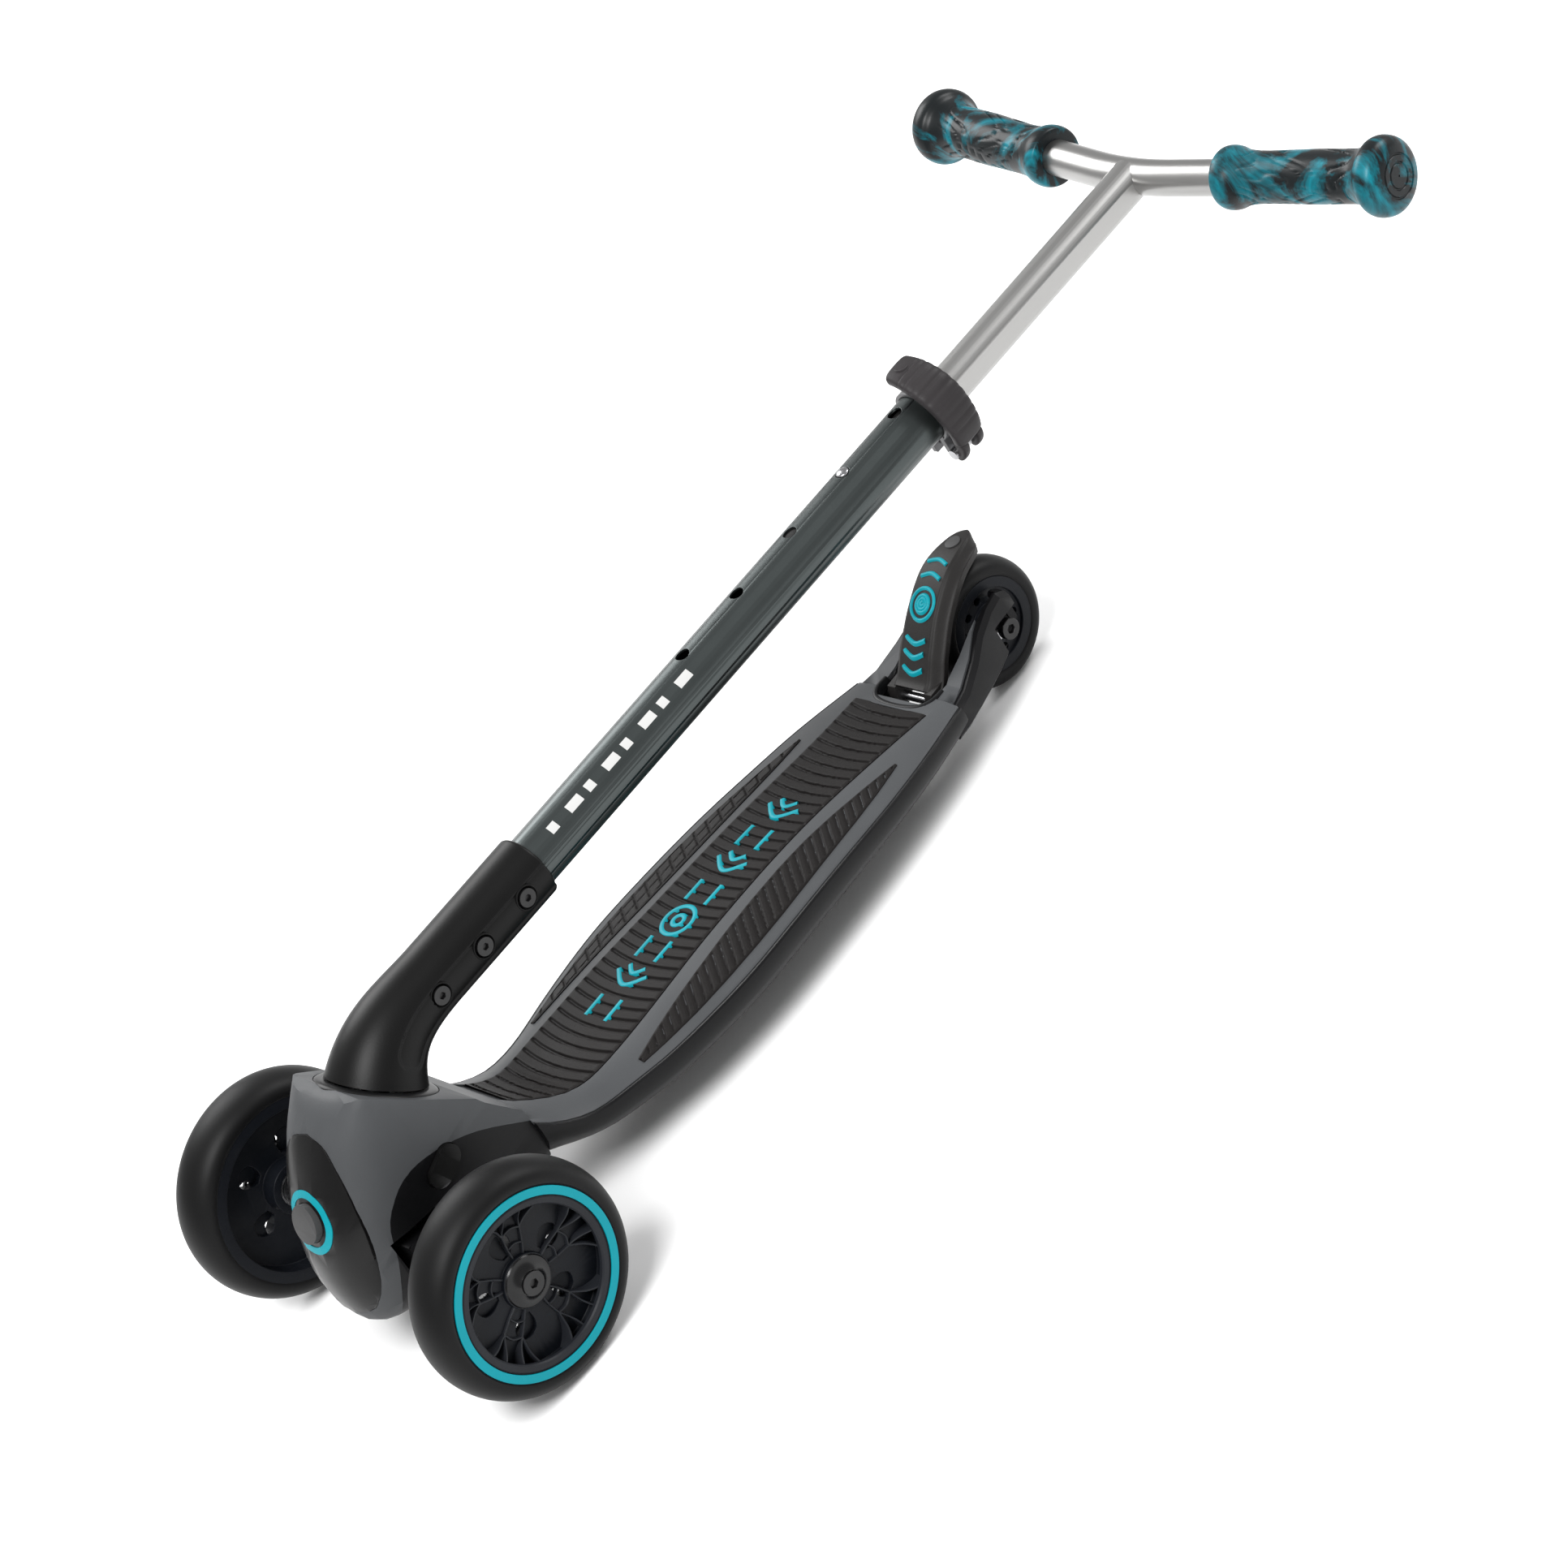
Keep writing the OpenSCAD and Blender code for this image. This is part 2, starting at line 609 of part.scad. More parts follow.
module at_wheel(s) {
    translate([s * half_track, 0, axle_z]) rotate([0, s * 90, 0]) children();
}
rim_r = front_r - front_tyre_deep;
dish_r = rim_r - front_rim_t;
ring_r = front_r - ring_in;
face = front_w / 2;
flange_r = ring_r + 1.5;
function tyre_outline(out_r, half, rim, lip_r, lip) = concat(
    [[rim, -half + lip], [lip_r, -half + lip], [lip_r, -half]],
    [for (a = [-80:16:80]) [out_r - 0.62 * half * (1 - cos(a)), half * sin(a)]],
    [[lip_r, half], [lip_r, half - lip], [rim, half - lip]]);
module front_tyre(s) {
    color([0.07, 0.07, 0.07]) place() at_wheel(s) rotate_extrude($fn = 96)
        polygon(tyre_outline(front_r, face, rim_r, flange_r, 4));
}
hub_r = bearing_d / 2 + 5;
hub_out = 8;
hub_in = -14;
web_low = -3;
web_high = 5;
module front_core(s) {
    color([0.13, 0.14, 0.17]) place() at_wheel(s) difference() {
        union() {
            rotate_extrude($fn = 96) polygon([
                [dish_r, -face + 0.5], [flange_r - gap, -face + 0.5], [flange_r - gap, -face + 4],
                [rim_r, -face + 4], [rim_r, face - 4], [flange_r - gap, face - 4],
                [flange_r - gap, face - 0.5], [dish_r, face - 0.5]
            ]);
            translate([0, 0, web_low]) cylinder(r = dish_r + 1, h = web_high - web_low);
            translate([0, 0, hub_in]) cylinder(r = hub_r, h = hub_out - hub_in);
        }
        translate([0, 0, hub_in - 1]) cylinder(d = bearing_d, h = 50);
        for (k = [0:4]) rotate(k * 72 + 36) web_window();
        translate([0, 0, face - 1.5]) difference() {
            cylinder(r = ring_r + 0.1, h = 10);
            translate([0, 0, -1]) cylinder(r = ring_r - ring_w - 0.1, h = 12);
        }
    }
}
module web_window() {
    translate([0, 0, -20]) linear_extrude(40) polygon(smooth([
        [19, -2.5], [24, -6], [30, -6.5], [34, 0], [30, 6.5], [24, 6], [19, 2.5]
    ], 3));
}
module front_ring(s) {
    color([0, 0.65, 0.72]) place() at_wheel(s) translate([0, 0, face - 1.5]) difference() {
        cylinder(r = ring_r, h = 1.5, $fn = 96);
        translate([0, 0, -1]) cylinder(r = ring_r - ring_w, h = 4, $fn = 96);
    }
}
module bearing() {
    difference() {
        cylinder(d = bearing_d, h = bearing_w);
        translate([0, 0, -1]) cylinder(d = bearing_bore, h = bearing_w + 2);
    }
}
module bearing_pair(low, high) {
    translate([0, 0, low]) bearing();
    translate([0, 0, high - bearing_w]) bearing();
    translate([0, 0, low + bearing_w]) difference() {
        cylinder(d = bearing_bore + 4, h = high - low - 2 * bearing_w);
        translate([0, 0, -1]) cylinder(d = bearing_bore, h = 60);
    }
}
module front_bearings(s) {
    color([0.7, 0.7, 0.72]) place() at_wheel(s) bearing_pair(hub_in, hub_out);
}
module axle_bolt(s) {
    color([0.2, 0.2, 0.2]) place() at_wheel(s) difference() {
        union() {
            translate([0, 0, hub_in - 12])
                cylinder(d = bearing_bore - 2 * run_fit, h = hub_out - hub_in + 13);
            translate([0, 0, hub_out + gap]) cylinder(d = 14, h = 5);
        }
        translate([0, 0, hub_out + 3]) cylinder(d = 6, h = 10, $fn = 6);
    }
}
module front_tyre_left() front_tyre(1);
module front_tyre_right() front_tyre(-1);
module front_core_left() front_core(1);
module front_core_right() front_core(-1);
module front_ring_left() front_ring(1);
module front_ring_right() front_ring(-1);
module front_bearings_left() front_bearings(1);
module front_bearings_right() front_bearings(-1);
module axle_bolt_left() axle_bolt(1);
module axle_bolt_right() axle_bolt(-1);

module at_rear() {
    translate([0, wheelbase, rear_r]) rotate([0, 90, 0]) children();
}
rear_face = rear_w / 2;
rear_rim_r = rear_rim_d / 2;
module rear_tyre() {
    color([0.07, 0.07, 0.07]) place() at_rear() rotate_extrude($fn = 96)
        polygon(tyre_outline(rear_r, rear_face, rear_rim_r, rear_rim_r + 3, 3));
}
module rear_core() {
    color([0.14, 0.15, 0.18]) place() at_rear() difference() {
        union() {
            cylinder(r = rear_rim_r, h = rear_w - 1, center = true);
            for (s = [-1, 1]) translate([0, 0, s * (rear_face - 1.75)])
                cylinder(r = rear_rim_r + 2.6, h = 2.5, center = true);
        }
        for (s = [-1, 1]) translate([0, 0, s * rear_face]) difference() {
            cylinder(r = rear_rim_r - 4, h = 6, center = true);
            cylinder(d = bearing_d + 6, h = 7, center = true);
        }
        translate([0, 0, -30]) cylinder(d = bearing_d, h = 60);
        for (k = [0:9]) rotate(k * 36) translate([(rear_rim_r - 4 + bearing_d / 2 + 3) / 2, 0, -20])
            cylinder(d = 5, h = 40);
    }
}
module rear_bearings() {
    color([0.7, 0.7, 0.72]) place() at_rear() bearing_pair(-rear_face + 0.5, rear_face - 0.5);
}
module rear_axle() {
    color([0.25, 0.25, 0.26]) place() at_rear() difference() {
        union() {
            cylinder(d = bearing_bore - 2 * run_fit, h = 2 * axle_seat_x + 8, center = true);
            for (s = [-1, 1]) translate([0, 0, s * (axle_seat_x + 2.5)])
                cylinder(d = 13, h = 5, center = true);
        }
        for (s = [-1, 1]) translate([0, 0, s * (axle_seat_x + 5)])
            cylinder(d = 6, h = 6, center = true, $fn = 6);
    }
}

// ---- Brake ---------------------------------------------------------------

// Rows of the pad from its foot to its tip, as [y, z, half width, drop of the sides].
brake_rows = [
    [pocket_y + 3, deck_z - 16, brake_half, 4], [wheelbase - 62, deck_z - 7, brake_half, 5],
    [wheelbase - 50, deck_z + 5, brake_half - 1, 6], [wheelbase - 38, deck_z + 15, brake_half - 2, 6],
    [wheelbase - 25, brake_tip_z - 11, brake_half - 2.5, 6],
    [wheelbase - 10, brake_tip_z - 4, brake_half - 3, 6], [wheelbase + 4, brake_tip_z - 1, brake_half - 5, 5],
    [wheelbase + 17, brake_tip_z - 1, brake_half - 8, 4],
    [wheelbase + 26, brake_tip_z - 2.5, brake_half - 13, 3]
];
function row_angle(i) = let (a = brake_rows[max(i - 1, 0)], b = brake_rows[min(i + 1, len(brake_rows) - 1)])
    atan2(b[1] - a[1], b[0] - a[0]);
// Length of the pad between two rows; each piece is a roof with its sides bent down.
module pad_piece(i) {
    for (s = [-1, 1]) hull() for (k = [i, i + 1]) let (r = brake_rows[k])
        translate([0, r[0], r[1]]) rotate([row_angle(k), 0, 0]) {
            translate([-0.5, -0.2, -brake_t]) cube([1, 0.4, brake_t]);
            translate([s * (r[2] - 5) - 0.5, -0.2, -1.5 - brake_t]) cube([1, 0.4, brake_t]);
            translate([s * (r[2] - 0.5) - 0.5, -0.2, -r[3] - brake_t]) cube([1, 0.4, brake_t]);
        }
}
module brake_lever() {
    color([0.2, 0.19, 0.19]) place() difference() {
        union() {
            for (i = [0:len(brake_rows) - 2]) pad_piece(i);
            for (s = [-1, 1]) hull() {
                translate([s * (brake_half - 5), brake_pin_y, brake_pin_z]) rotate([0, 90, 0])
                    cylinder(d = brake_pin_d + 6, h = 7, center = true, $fn = 32);
                translate([s * (brake_half - 5), brake_pin_y + 2, deck_z - 16])
                    cube([7, 14, 4], center = true);
            }
        }
        across(brake_pin_y, brake_pin_z, brake_pin_d + 2 * run_fit, 100);
        across(wheelbase, rear_r, rear_d + 7, 60);
        at_brake_cap() translate([0, 0, -1]) cylinder(d = cap_d + gap, h = 20);
    }
}
cap_d = 10;
module at_brake_cap() {
    translate([0, wheelbase + 13, brake_tip_z - 2]) children();
}
module brake_cap() {
    color([0.3, 0.3, 0.31]) place() at_brake_cap() translate([0, 0, -0.8]) cylinder(d = cap_d, h = 2);
}
module at_pad(y) {
    translate([0, y, lookup(y, [for (r = brake_rows) [r[0], r[1]]])])
        rotate([lookup(y, [for (i = [0:len(brake_rows) - 1]) [brake_rows[i][0], row_angle(i)]]), 0, 0])
        children();
}
module brake_inlay() {
    color([0, 0.6, 0.66]) place() {
        for (y = [wheelbase - 55, wheelbase - 47, wheelbase - 39.5, wheelbase - 10, wheelbase - 1])
            at_pad(y) translate([-8.5, -1.5, 0.15]) cube([17, 3, 1]);
        at_pad(wheelbase - 25) translate([0, 0, 0.15]) {
            cylinder(d = 12, h = 1.2);
            difference() {
                cylinder(d = 20, h = 1);
                translate([0, 0, -1]) cylinder(d = 14, h = 3);
            }
        }
    }
}
module brake_pin() {
    color([0.6, 0.6, 0.62]) place() across(brake_pin_y, brake_pin_z, brake_pin_d, 2 * pin_half);
}
module brake_spring() {
    color([0.6, 0.6, 0.62]) place() for (s = [-1, 1]) translate([s * (brake_half + 1.3), 0, 0])
        difference() {
            across(brake_pin_y, brake_pin_z, brake_pin_d + 4, 2);
            across(brake_pin_y, brake_pin_z, brake_pin_d + 1, 40);
        }
}

// ---- T-bar ---------------------------------------------------------------

shaft_low = -housing_len - 16;
// The neck bends from the collar's axis to the T-bar's, as rings along a curve.
neck_steps = 9;
neck_low = 3;
neck_high = 46;
neck_pull = 27;
function blend(a, b, t) = a * (1 - t) + b * t;
neck_a = [collar_y + neck_low * cos(fold_angle), collar_z + neck_low * sin(fold_angle)];
neck_d = [bend_y + neck_high * cos(tbar_tilt), bend_z + neck_high * sin(tbar_tilt)];
neck_b = neck_a + neck_pull * [cos(fold_angle), sin(fold_angle)];
neck_c = neck_d - neck_pull * [cos(tbar_tilt), sin(tbar_tilt)];
function neck_at(t) = blend(blend(blend(neck_a, neck_b, t), blend(neck_b, neck_c, t), t),
    blend(blend(neck_b, neck_c, t), blend(neck_c, neck_d, t), t), t);
module neck_disc(t) {
    translate([0, neck_at(t)[0], neck_at(t)[1]])
        rotate([blend(fold_angle, tbar_tilt, t * t * (3 - 2 * t)) - 90, 0, 0])
        cylinder(r = blend(sleeve_base_r, sleeve_d / 2, 1 - pow(1 - t, 1.7)), h = 0.1, $fn = 40);
}
module stem_base() {
    color([0.09, 0.09, 0.09]) place() difference() {
        union() {
            at_tbar() translate([0, 0, 28]) cylinder(d = sleeve_d, h = sleeve_top - 28 - 3);
            at_tbar() translate([0, 0, sleeve_top - 3 - eps])
                cylinder(d1 = sleeve_d, d2 = sleeve_d - 3, h = 3);
            at_collar() translate([0, 0, 1.4]) cylinder(r = sleeve_base_r, h = 1.7);
            for (i = [1:neck_steps]) hull() {
                neck_disc((i - 1) / neck_steps);
                neck_disc(i / neck_steps);
            }
        }
        at_tbar() translate([0, 0, tube_seat]) cylinder(d = tube_d + 2 * run_fit, h = 200);
        at_collar() translate([0, 0, -20]) cylinder(d = pivot_d + 2 * run_fit, h = 20 + shaft_top);
        for (z = bolt_heights) at_tbar() translate([0, 0, z]) rotate([0, 90, 0]) {
            cylinder(d = 6 + 2 * run_fit, h = 60, center = true, $fn = 32);
            translate([0, 0, bolt_reach - 3]) cylinder(d = 13, h = 20);
            translate([0, 0, -bolt_reach - 17]) cylinder(d = 13, h = 20);
        }
    }
}
tube_seat = 22;
shaft_top = 18;
bolt_reach = tube_d / 2 + 3;
sleeve_d = tube_d + 2 * sleeve_wall;
bolt_heights = [for (i = [0:2]) 35 + 37.5 * i];
module pivot_shaft() {
    color([0.6, 0.6, 0.62]) place() at_collar() translate([0, 0, shaft_low])
        cylinder(d = pivot_d, h = shaft_top - shaft_low);
}
module pivot_nut() {
    color([0.5, 0.5, 0.52]) place() at_collar() translate([0, 0, shaft_low + 2]) difference() {
        cylinder(d = 28, h = -housing_len - 6 - gap - shaft_low - 2, $fn = 6);
        translate([0, 0, -1]) cylinder(d = pivot_d, h = 40);
    }
}
module stem_bolts() {
    color([0.12, 0.12, 0.12]) place() for (z = bolt_heights)
        at_tbar() translate([0, 0, z]) rotate([0, 90, 0]) difference() {
            union() {
                translate([0, 0, -bolt_reach + 3]) cylinder(d = 6, h = 2 * bolt_reach - 6);
                translate([0, 0, bolt_reach - 3]) cylinder(d = 11, h = 4);
            }
            translate([0, 0, bolt_reach - 1]) cylinder(d = 4.6, h = 10, $fn = 6);
        }
}
module stem_nuts() {
    color([0.3, 0.3, 0.3]) place() for (z = bolt_heights)
        at_tbar() translate([0, 0, z]) rotate([0, -90, 0]) translate([0, 0, bolt_reach - 3])
            cylinder(d = 11, h = 4, $fn = 6);
}
module outer_tube() {
    color([0.33, 0.36, 0.36]) place() at_tbar() difference() {
        translate([0, 0, tube_seat]) cylinder(d = tube_d, h = tube_top - tube_seat);
        translate([0, 0, tube_seat - 1]) cylinder(d = tube_d - 2 * tube_wall, h = tube_top);
        for (i = [0:hole_count - 1]) translate([0, 0, hole_top - i * hole_pitch]) rotate([90, 0, 0])
            cylinder(d = hole_d, h = 40);
        for (z = bolt_heights) translate([0, 0, z]) rotate([0, 90, 0])
            cylinder(d = 6, h = 60, center = true);
        translate([-1, 8, tube_top - 24]) cube([2, 20, 30]);
    }
}
bore_r = tube_d / 2 - tube_wall;
module d_section(grow, length) {
    intersection() {
        cylinder(d = inner_d + 2 * grow, h = length);
        translate([-inner_flats / 2 - grow, -50, -1]) cube([inner_flats + 2 * grow, 100, length + 2]);
    }
}
module top_bushing() {
    color([0.06, 0.06, 0.06]) place() at_tbar() difference() {
        union() {
            translate([0, 0, tube_top - 20]) cylinder(r = bore_r, h = 20);
            translate([0, 0, tube_top]) cylinder(d = tube_d + 1, h = 2.5);
        }
        translate([0, 0, tube_top - 21]) d_section(run_fit, 30);
    }
}
inner_low = button_h - 62;
inner_len = bar_h - inner_low + 2;
module inner_tube() {
    color([0.75, 0.75, 0.74]) place() difference() {
        at_tbar() translate([0, 0, inner_low]) difference() {
            d_section(0, inner_len);
            translate([0, 0, -1]) cylinder(d = inner_flats - 2 * inner_wall, h = inner_len + 2);
            translate([0, 0, button_h - inner_low]) rotate([90, 0, 0]) cylinder(d = hole_d, h = 40);
        }
        at_tbar() translate([0, 0, bar_h + bend_r / cos(bar_rise)]) rotate([90, 0, 0])
            rotate([0, 0, -90 - bar_rise]) rotate_extrude(angle = 2 * bar_rise, $fn = 240)
                translate([bend_r, 0]) circle(d = bar_d);
    }
}
module at_bar(s) {
    at_tbar() translate([0, 0, bar_h]) rotate([0, s * (90 - bar_rise), 0]) children();
}
bend_r = 250;
// The bar's middle is an arc between its two straight halves; each station is [x, z, turn].
bar_end = bar_half - 5;
bar_steps = 5;
bar_stations = concat(
    [[-bar_end * cos(bar_rise), bar_end * sin(bar_rise), -bar_rise]],
    [for (i = [-bar_steps:bar_steps]) let (q = i / bar_steps * bar_rise)
        [bend_r * sin(q), bend_r * (1 / cos(bar_rise) - cos(q)), q]],
    [[bar_end * cos(bar_rise), bar_end * sin(bar_rise), bar_rise]]);
function bar_ring(s, r) = [for (i = [0:47]) let (a = i * 7.5)
    [s[0] - r * cos(a) * sin(s[2]), r * sin(a), s[1] + r * cos(a) * cos(s[2])]];
// A closed pipe: rings along the outside, then back along the bore.
module pipe(rings) {
    n = len(rings[0]);
    m = len(rings);
    polyhedron(
        points = [for (r = rings) for (p = r) p],
        faces = [for (k = [0:m - 1]) for (i = [0:n - 1]) let (j = (i + 1) % n, l = (k + 1) % m)
            [k * n + i, k * n + j, l * n + j, l * n + i]]);
}
module handlebar() {
    last = len(bar_stations) - 1;
    color([0.75, 0.75, 0.74]) place() at_tbar() translate([0, 0, bar_h]) pipe(concat(
        [for (s = bar_stations) bar_ring(s, bar_d / 2)],
        [for (i = [0:last]) bar_ring(bar_stations[last - i], bar_d / 2 - bar_wall)]));
}
grip_in = bar_half - grip_len;
module grip(s) {
    color([0.03, 0.25, 0.28]) place() at_bar(s) difference() {
        rotate_extrude() polygon(concat(
            [[bar_d / 2, grip_in]],
            smooth([[16.5, grip_in], [19, grip_in + 3], [19.4, grip_in + 8], [17, grip_in + 14],
                [grip_d / 2, grip_in + 40], [grip_d / 2 + 0.5, grip_in + 70],
                [grip_d / 2, grip_in + 96], [flange_d / 2 - 5, grip_in + 108],
                [flange_d / 2, grip_in + 117], [flange_d / 2 - 2, grip_len + grip_in - 2]], 3),
            [[flange_d / 2 - 4, bar_half], [0, bar_half], [0, bar_half - 4.5], [bar_d / 2, bar_half - 4.5]]));
    }
}
module grip_left() grip(1);
module grip_right() grip(-1);
module lower_bushing() {
    color([0.06, 0.06, 0.06]) place() at_tbar() translate([0, 0, inner_low]) difference() {
        cylinder(r = bore_r - run_fit, h = 22);
        translate([0, 0, -1]) d_section(0, 40);
    }
}
button_d = hole_d - 2 * run_fit - 0.2;
module snap_button() {
    color([0.8, 0.8, 0.8]) place() at_tbar() translate([0, 0, button_h]) rotate([90, 0, 0]) {
        translate([0, 0, 7.5]) cylinder(d = button_d, h = tube_d / 2 - 7.5);
        translate([0, 0, tube_d / 2]) cylinder(d1 = button_d, d2 = button_d - 4, h = 1.5);
    }
}
module snap_spring() {
    color([0.7, 0.7, 0.7]) place() at_tbar() translate([0, 0, button_h]) {
        translate([-3, 7.2, -24]) cube([6, 0.8, 30]);
        translate([-3, -2, -24.8]) cube([6, 10, 0.8]);
    }
}

// ---- Clamp ---------------------------------------------------------------

clamp_low = tube_top - band_h - 3;
band_r = tube_d / 2 + band_t;
ear_x = 9;
module clamp_band() {
    color([0.5, 0.5, 0.5]) place() at_tbar() translate([0, 0, clamp_low]) difference() {
        union() {
            cylinder(r = band_r, h = band_h);
            translate([-ear_x, 0, 0]) cube([2 * ear_x, band_r + 10, band_h]);
        }
        translate([0, 0, -1]) cylinder(d = tube_d, h = band_h + 2);
        translate([-ear_x + 4, 0, -1]) cube([2 * ear_x - 8, 60, band_h + 2]);
        translate([0, band_r + 5, band_h / 2]) rotate([0, 90, 0]) cylinder(d = 5, h = 60, center = true);
    }
}
barrel_d = 7;
boss_r = 6.2;
barrel_x = ear_x + boss_r + gap;
module at_barrel() {
    at_tbar() translate([barrel_x, band_r + 5, clamp_low + band_h / 2]) children();
}
module clamp_bolt() {
    color([0.55, 0.55, 0.56]) place() at_barrel() {
        translate([-barrel_x - ear_x - 2, 0, 0]) rotate([0, 90, 0])
            cylinder(d = 5, h = barrel_x + 2 * ear_x - 6);
        translate([-barrel_x - ear_x - 4.2, 0, 0]) rotate([0, 90, 0]) cylinder(d = 9, h = 4, $fn = 6);
    }
}
module lever_barrel() {
    color([0.6, 0.6, 0.61]) place() at_barrel() difference() {
        cylinder(d = barrel_d, h = band_h + 8, center = true);
        translate([-10, 0, 0]) rotate([0, 90, 0]) cylinder(d = 5 + 2 * run_fit, h = 11.5);
    }
}
// The lever's outline in a plane square to the T-bar, as [x, y].
lever_h = 20;
module clamp_lever() {
    k = band_r / 19;
    color([0.23, 0.22, 0.23]) place() difference() {
        union() {
            at_tbar() translate([0, 0, clamp_low + (band_h - lever_h) / 2]) linear_extrude(lever_h)
                polygon(concat(
                    smooth([[barrel_x + 1, band_r + 11], [k * 24, band_r + 6], [k * 28.5, k * 12],
                        [k * 30, k * -2], [k * 25, k * -19], [k * 12, k * -30.5], [k * -4, k * -35]], 4),
                    smooth([[k * -8, k * -32], [k * -6, k * -27.5], [k * 6, k * -25.5],
                        [k * 16.5, k * -17], [k * 21.5, k * -4], [k * 21, k * 9],
                        [barrel_x + 1, band_r - 1]], 4)));
            at_barrel() cylinder(r = boss_r, h = lever_h, center = true);
        }
        at_barrel() cylinder(d = barrel_d + 2 * run_fit, h = 60, center = true);
        at_barrel() translate([-boss_r - 2, -3.5, -3.5]) cube([boss_r + 7, boss_r + 6, 7]);
    }
}

// ---- Controls ------------------------------------------------------------

module steering_lock_button() {
    color([0.33, 0.33, 0.34]) place() {
        at_badge() translate([0, 0, lock_low]) cylinder(d = lock_d, h = -lock_low + 2.5);
        at_badge() translate([0, 0, lock_low - 6]) cylinder(d = 8, h = 6.5);
    }
}
lock_low = -10;
button_long = 26;
button_wide = 15;
module button_blank(grow) {
    at_fold_button() rotate(22) for (e = [-1, 0, 1]) if (e == 0)
        translate([-button_wide / 2 - grow, -(button_long - button_wide) / 2, -8])
            cube([button_wide + 2 * grow, button_long - button_wide, 10]);
    else translate([0, e * (button_long - button_wide) / 2, -8])
        cylinder(d = button_wide + 2 * grow, h = 10);
}
module fold_button() {
    color([0.16, 0.16, 0.17]) place() {
        button_blank(0);
        translate([10, button_y, button_z]) rotate([0, 90, 0])
            cylinder(d = 9 - 2 * run_fit, h = nose_half - 16);
    }
}
module fold_button_spring() {
    color([0.6, 0.6, 0.62]) place() translate([26, button_y, button_z]) rotate([0, 90, 0])
        difference() {
            cylinder(d = 13, h = 11);
            translate([0, 0, -1]) cylinder(d = 10, h = 20);
        }
}

deck_frame();
deck_shell();
nose_shell();
centre_mat();
side_mat_left();
side_mat_right();
nose_badge();
badge_ring();
collar_bezel();
fold_housing();
truck_beam();
kingpins();
centring_spring();
underside_screws();
steering_lock_button();
fold_button();
fold_button_spring();
knuckle_left();
knuckle_right();
tie_rod();
axle_bolt_left();
axle_bolt_right();
front_tyre_left();
front_core_left();
front_ring_left();
front_bearings_left();
front_tyre_right();
front_core_right();
front_ring_right();
front_bearings_right();
rear_tyre();
rear_core();
rear_bearings();
rear_axle();
brake_lever();
brake_inlay();
brake_cap();
brake_pin();
brake_spring();
stem_base();
pivot_shaft();
pivot_nut();
stem_bolts();
stem_nuts();
outer_tube();
top_bushing();
clamp_band();
clamp_bolt();
clamp_lever();
lever_barrel();
inner_tube();
handlebar();
grip_left();
grip_right();
lower_bushing();
snap_spring();
snap_button();
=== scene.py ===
"""Looks of the folded three-wheel kick scooter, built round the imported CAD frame."""

import json
import math

import bmesh
import bpy
import numpy as np
from mathutils import Matrix, Vector
from mathutils.bvhtree import BVHTree

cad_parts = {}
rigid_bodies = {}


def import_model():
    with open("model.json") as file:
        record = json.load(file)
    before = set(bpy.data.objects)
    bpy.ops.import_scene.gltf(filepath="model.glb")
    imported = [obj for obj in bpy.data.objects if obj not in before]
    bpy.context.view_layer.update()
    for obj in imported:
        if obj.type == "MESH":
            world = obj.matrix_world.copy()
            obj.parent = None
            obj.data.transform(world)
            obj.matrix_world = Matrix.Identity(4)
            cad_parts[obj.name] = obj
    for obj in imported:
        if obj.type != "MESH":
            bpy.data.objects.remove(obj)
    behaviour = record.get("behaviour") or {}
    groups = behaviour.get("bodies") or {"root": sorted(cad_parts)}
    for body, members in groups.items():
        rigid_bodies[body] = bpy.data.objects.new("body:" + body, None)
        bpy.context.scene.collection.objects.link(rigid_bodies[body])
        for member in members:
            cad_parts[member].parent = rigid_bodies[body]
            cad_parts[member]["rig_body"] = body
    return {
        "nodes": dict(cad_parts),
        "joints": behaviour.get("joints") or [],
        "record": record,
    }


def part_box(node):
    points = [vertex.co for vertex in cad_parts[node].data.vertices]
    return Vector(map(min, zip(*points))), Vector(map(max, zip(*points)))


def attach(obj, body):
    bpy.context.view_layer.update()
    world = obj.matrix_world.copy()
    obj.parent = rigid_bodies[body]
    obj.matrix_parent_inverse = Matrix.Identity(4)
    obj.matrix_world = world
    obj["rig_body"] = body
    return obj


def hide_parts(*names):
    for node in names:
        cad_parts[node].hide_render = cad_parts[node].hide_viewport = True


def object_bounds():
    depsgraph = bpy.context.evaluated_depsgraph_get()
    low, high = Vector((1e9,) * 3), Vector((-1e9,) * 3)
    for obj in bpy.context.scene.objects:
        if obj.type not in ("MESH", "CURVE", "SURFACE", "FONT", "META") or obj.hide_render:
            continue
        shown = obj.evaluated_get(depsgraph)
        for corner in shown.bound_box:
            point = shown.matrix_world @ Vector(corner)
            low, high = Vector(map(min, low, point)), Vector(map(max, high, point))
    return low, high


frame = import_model()
NODES = frame["nodes"]
JOINTS = {j["name"]: j for j in frame["joints"]}
first_low, first_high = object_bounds()
MM = 0.001

# ---- Materials -------------------------------------------------------------

# The light is set to whiten the floor and would wash colours out, so each is multiplied by this.
DEPTH = 0.62
# Scale of the broad noise that clouds a colour and its gloss.
CLOUDS = 18.0


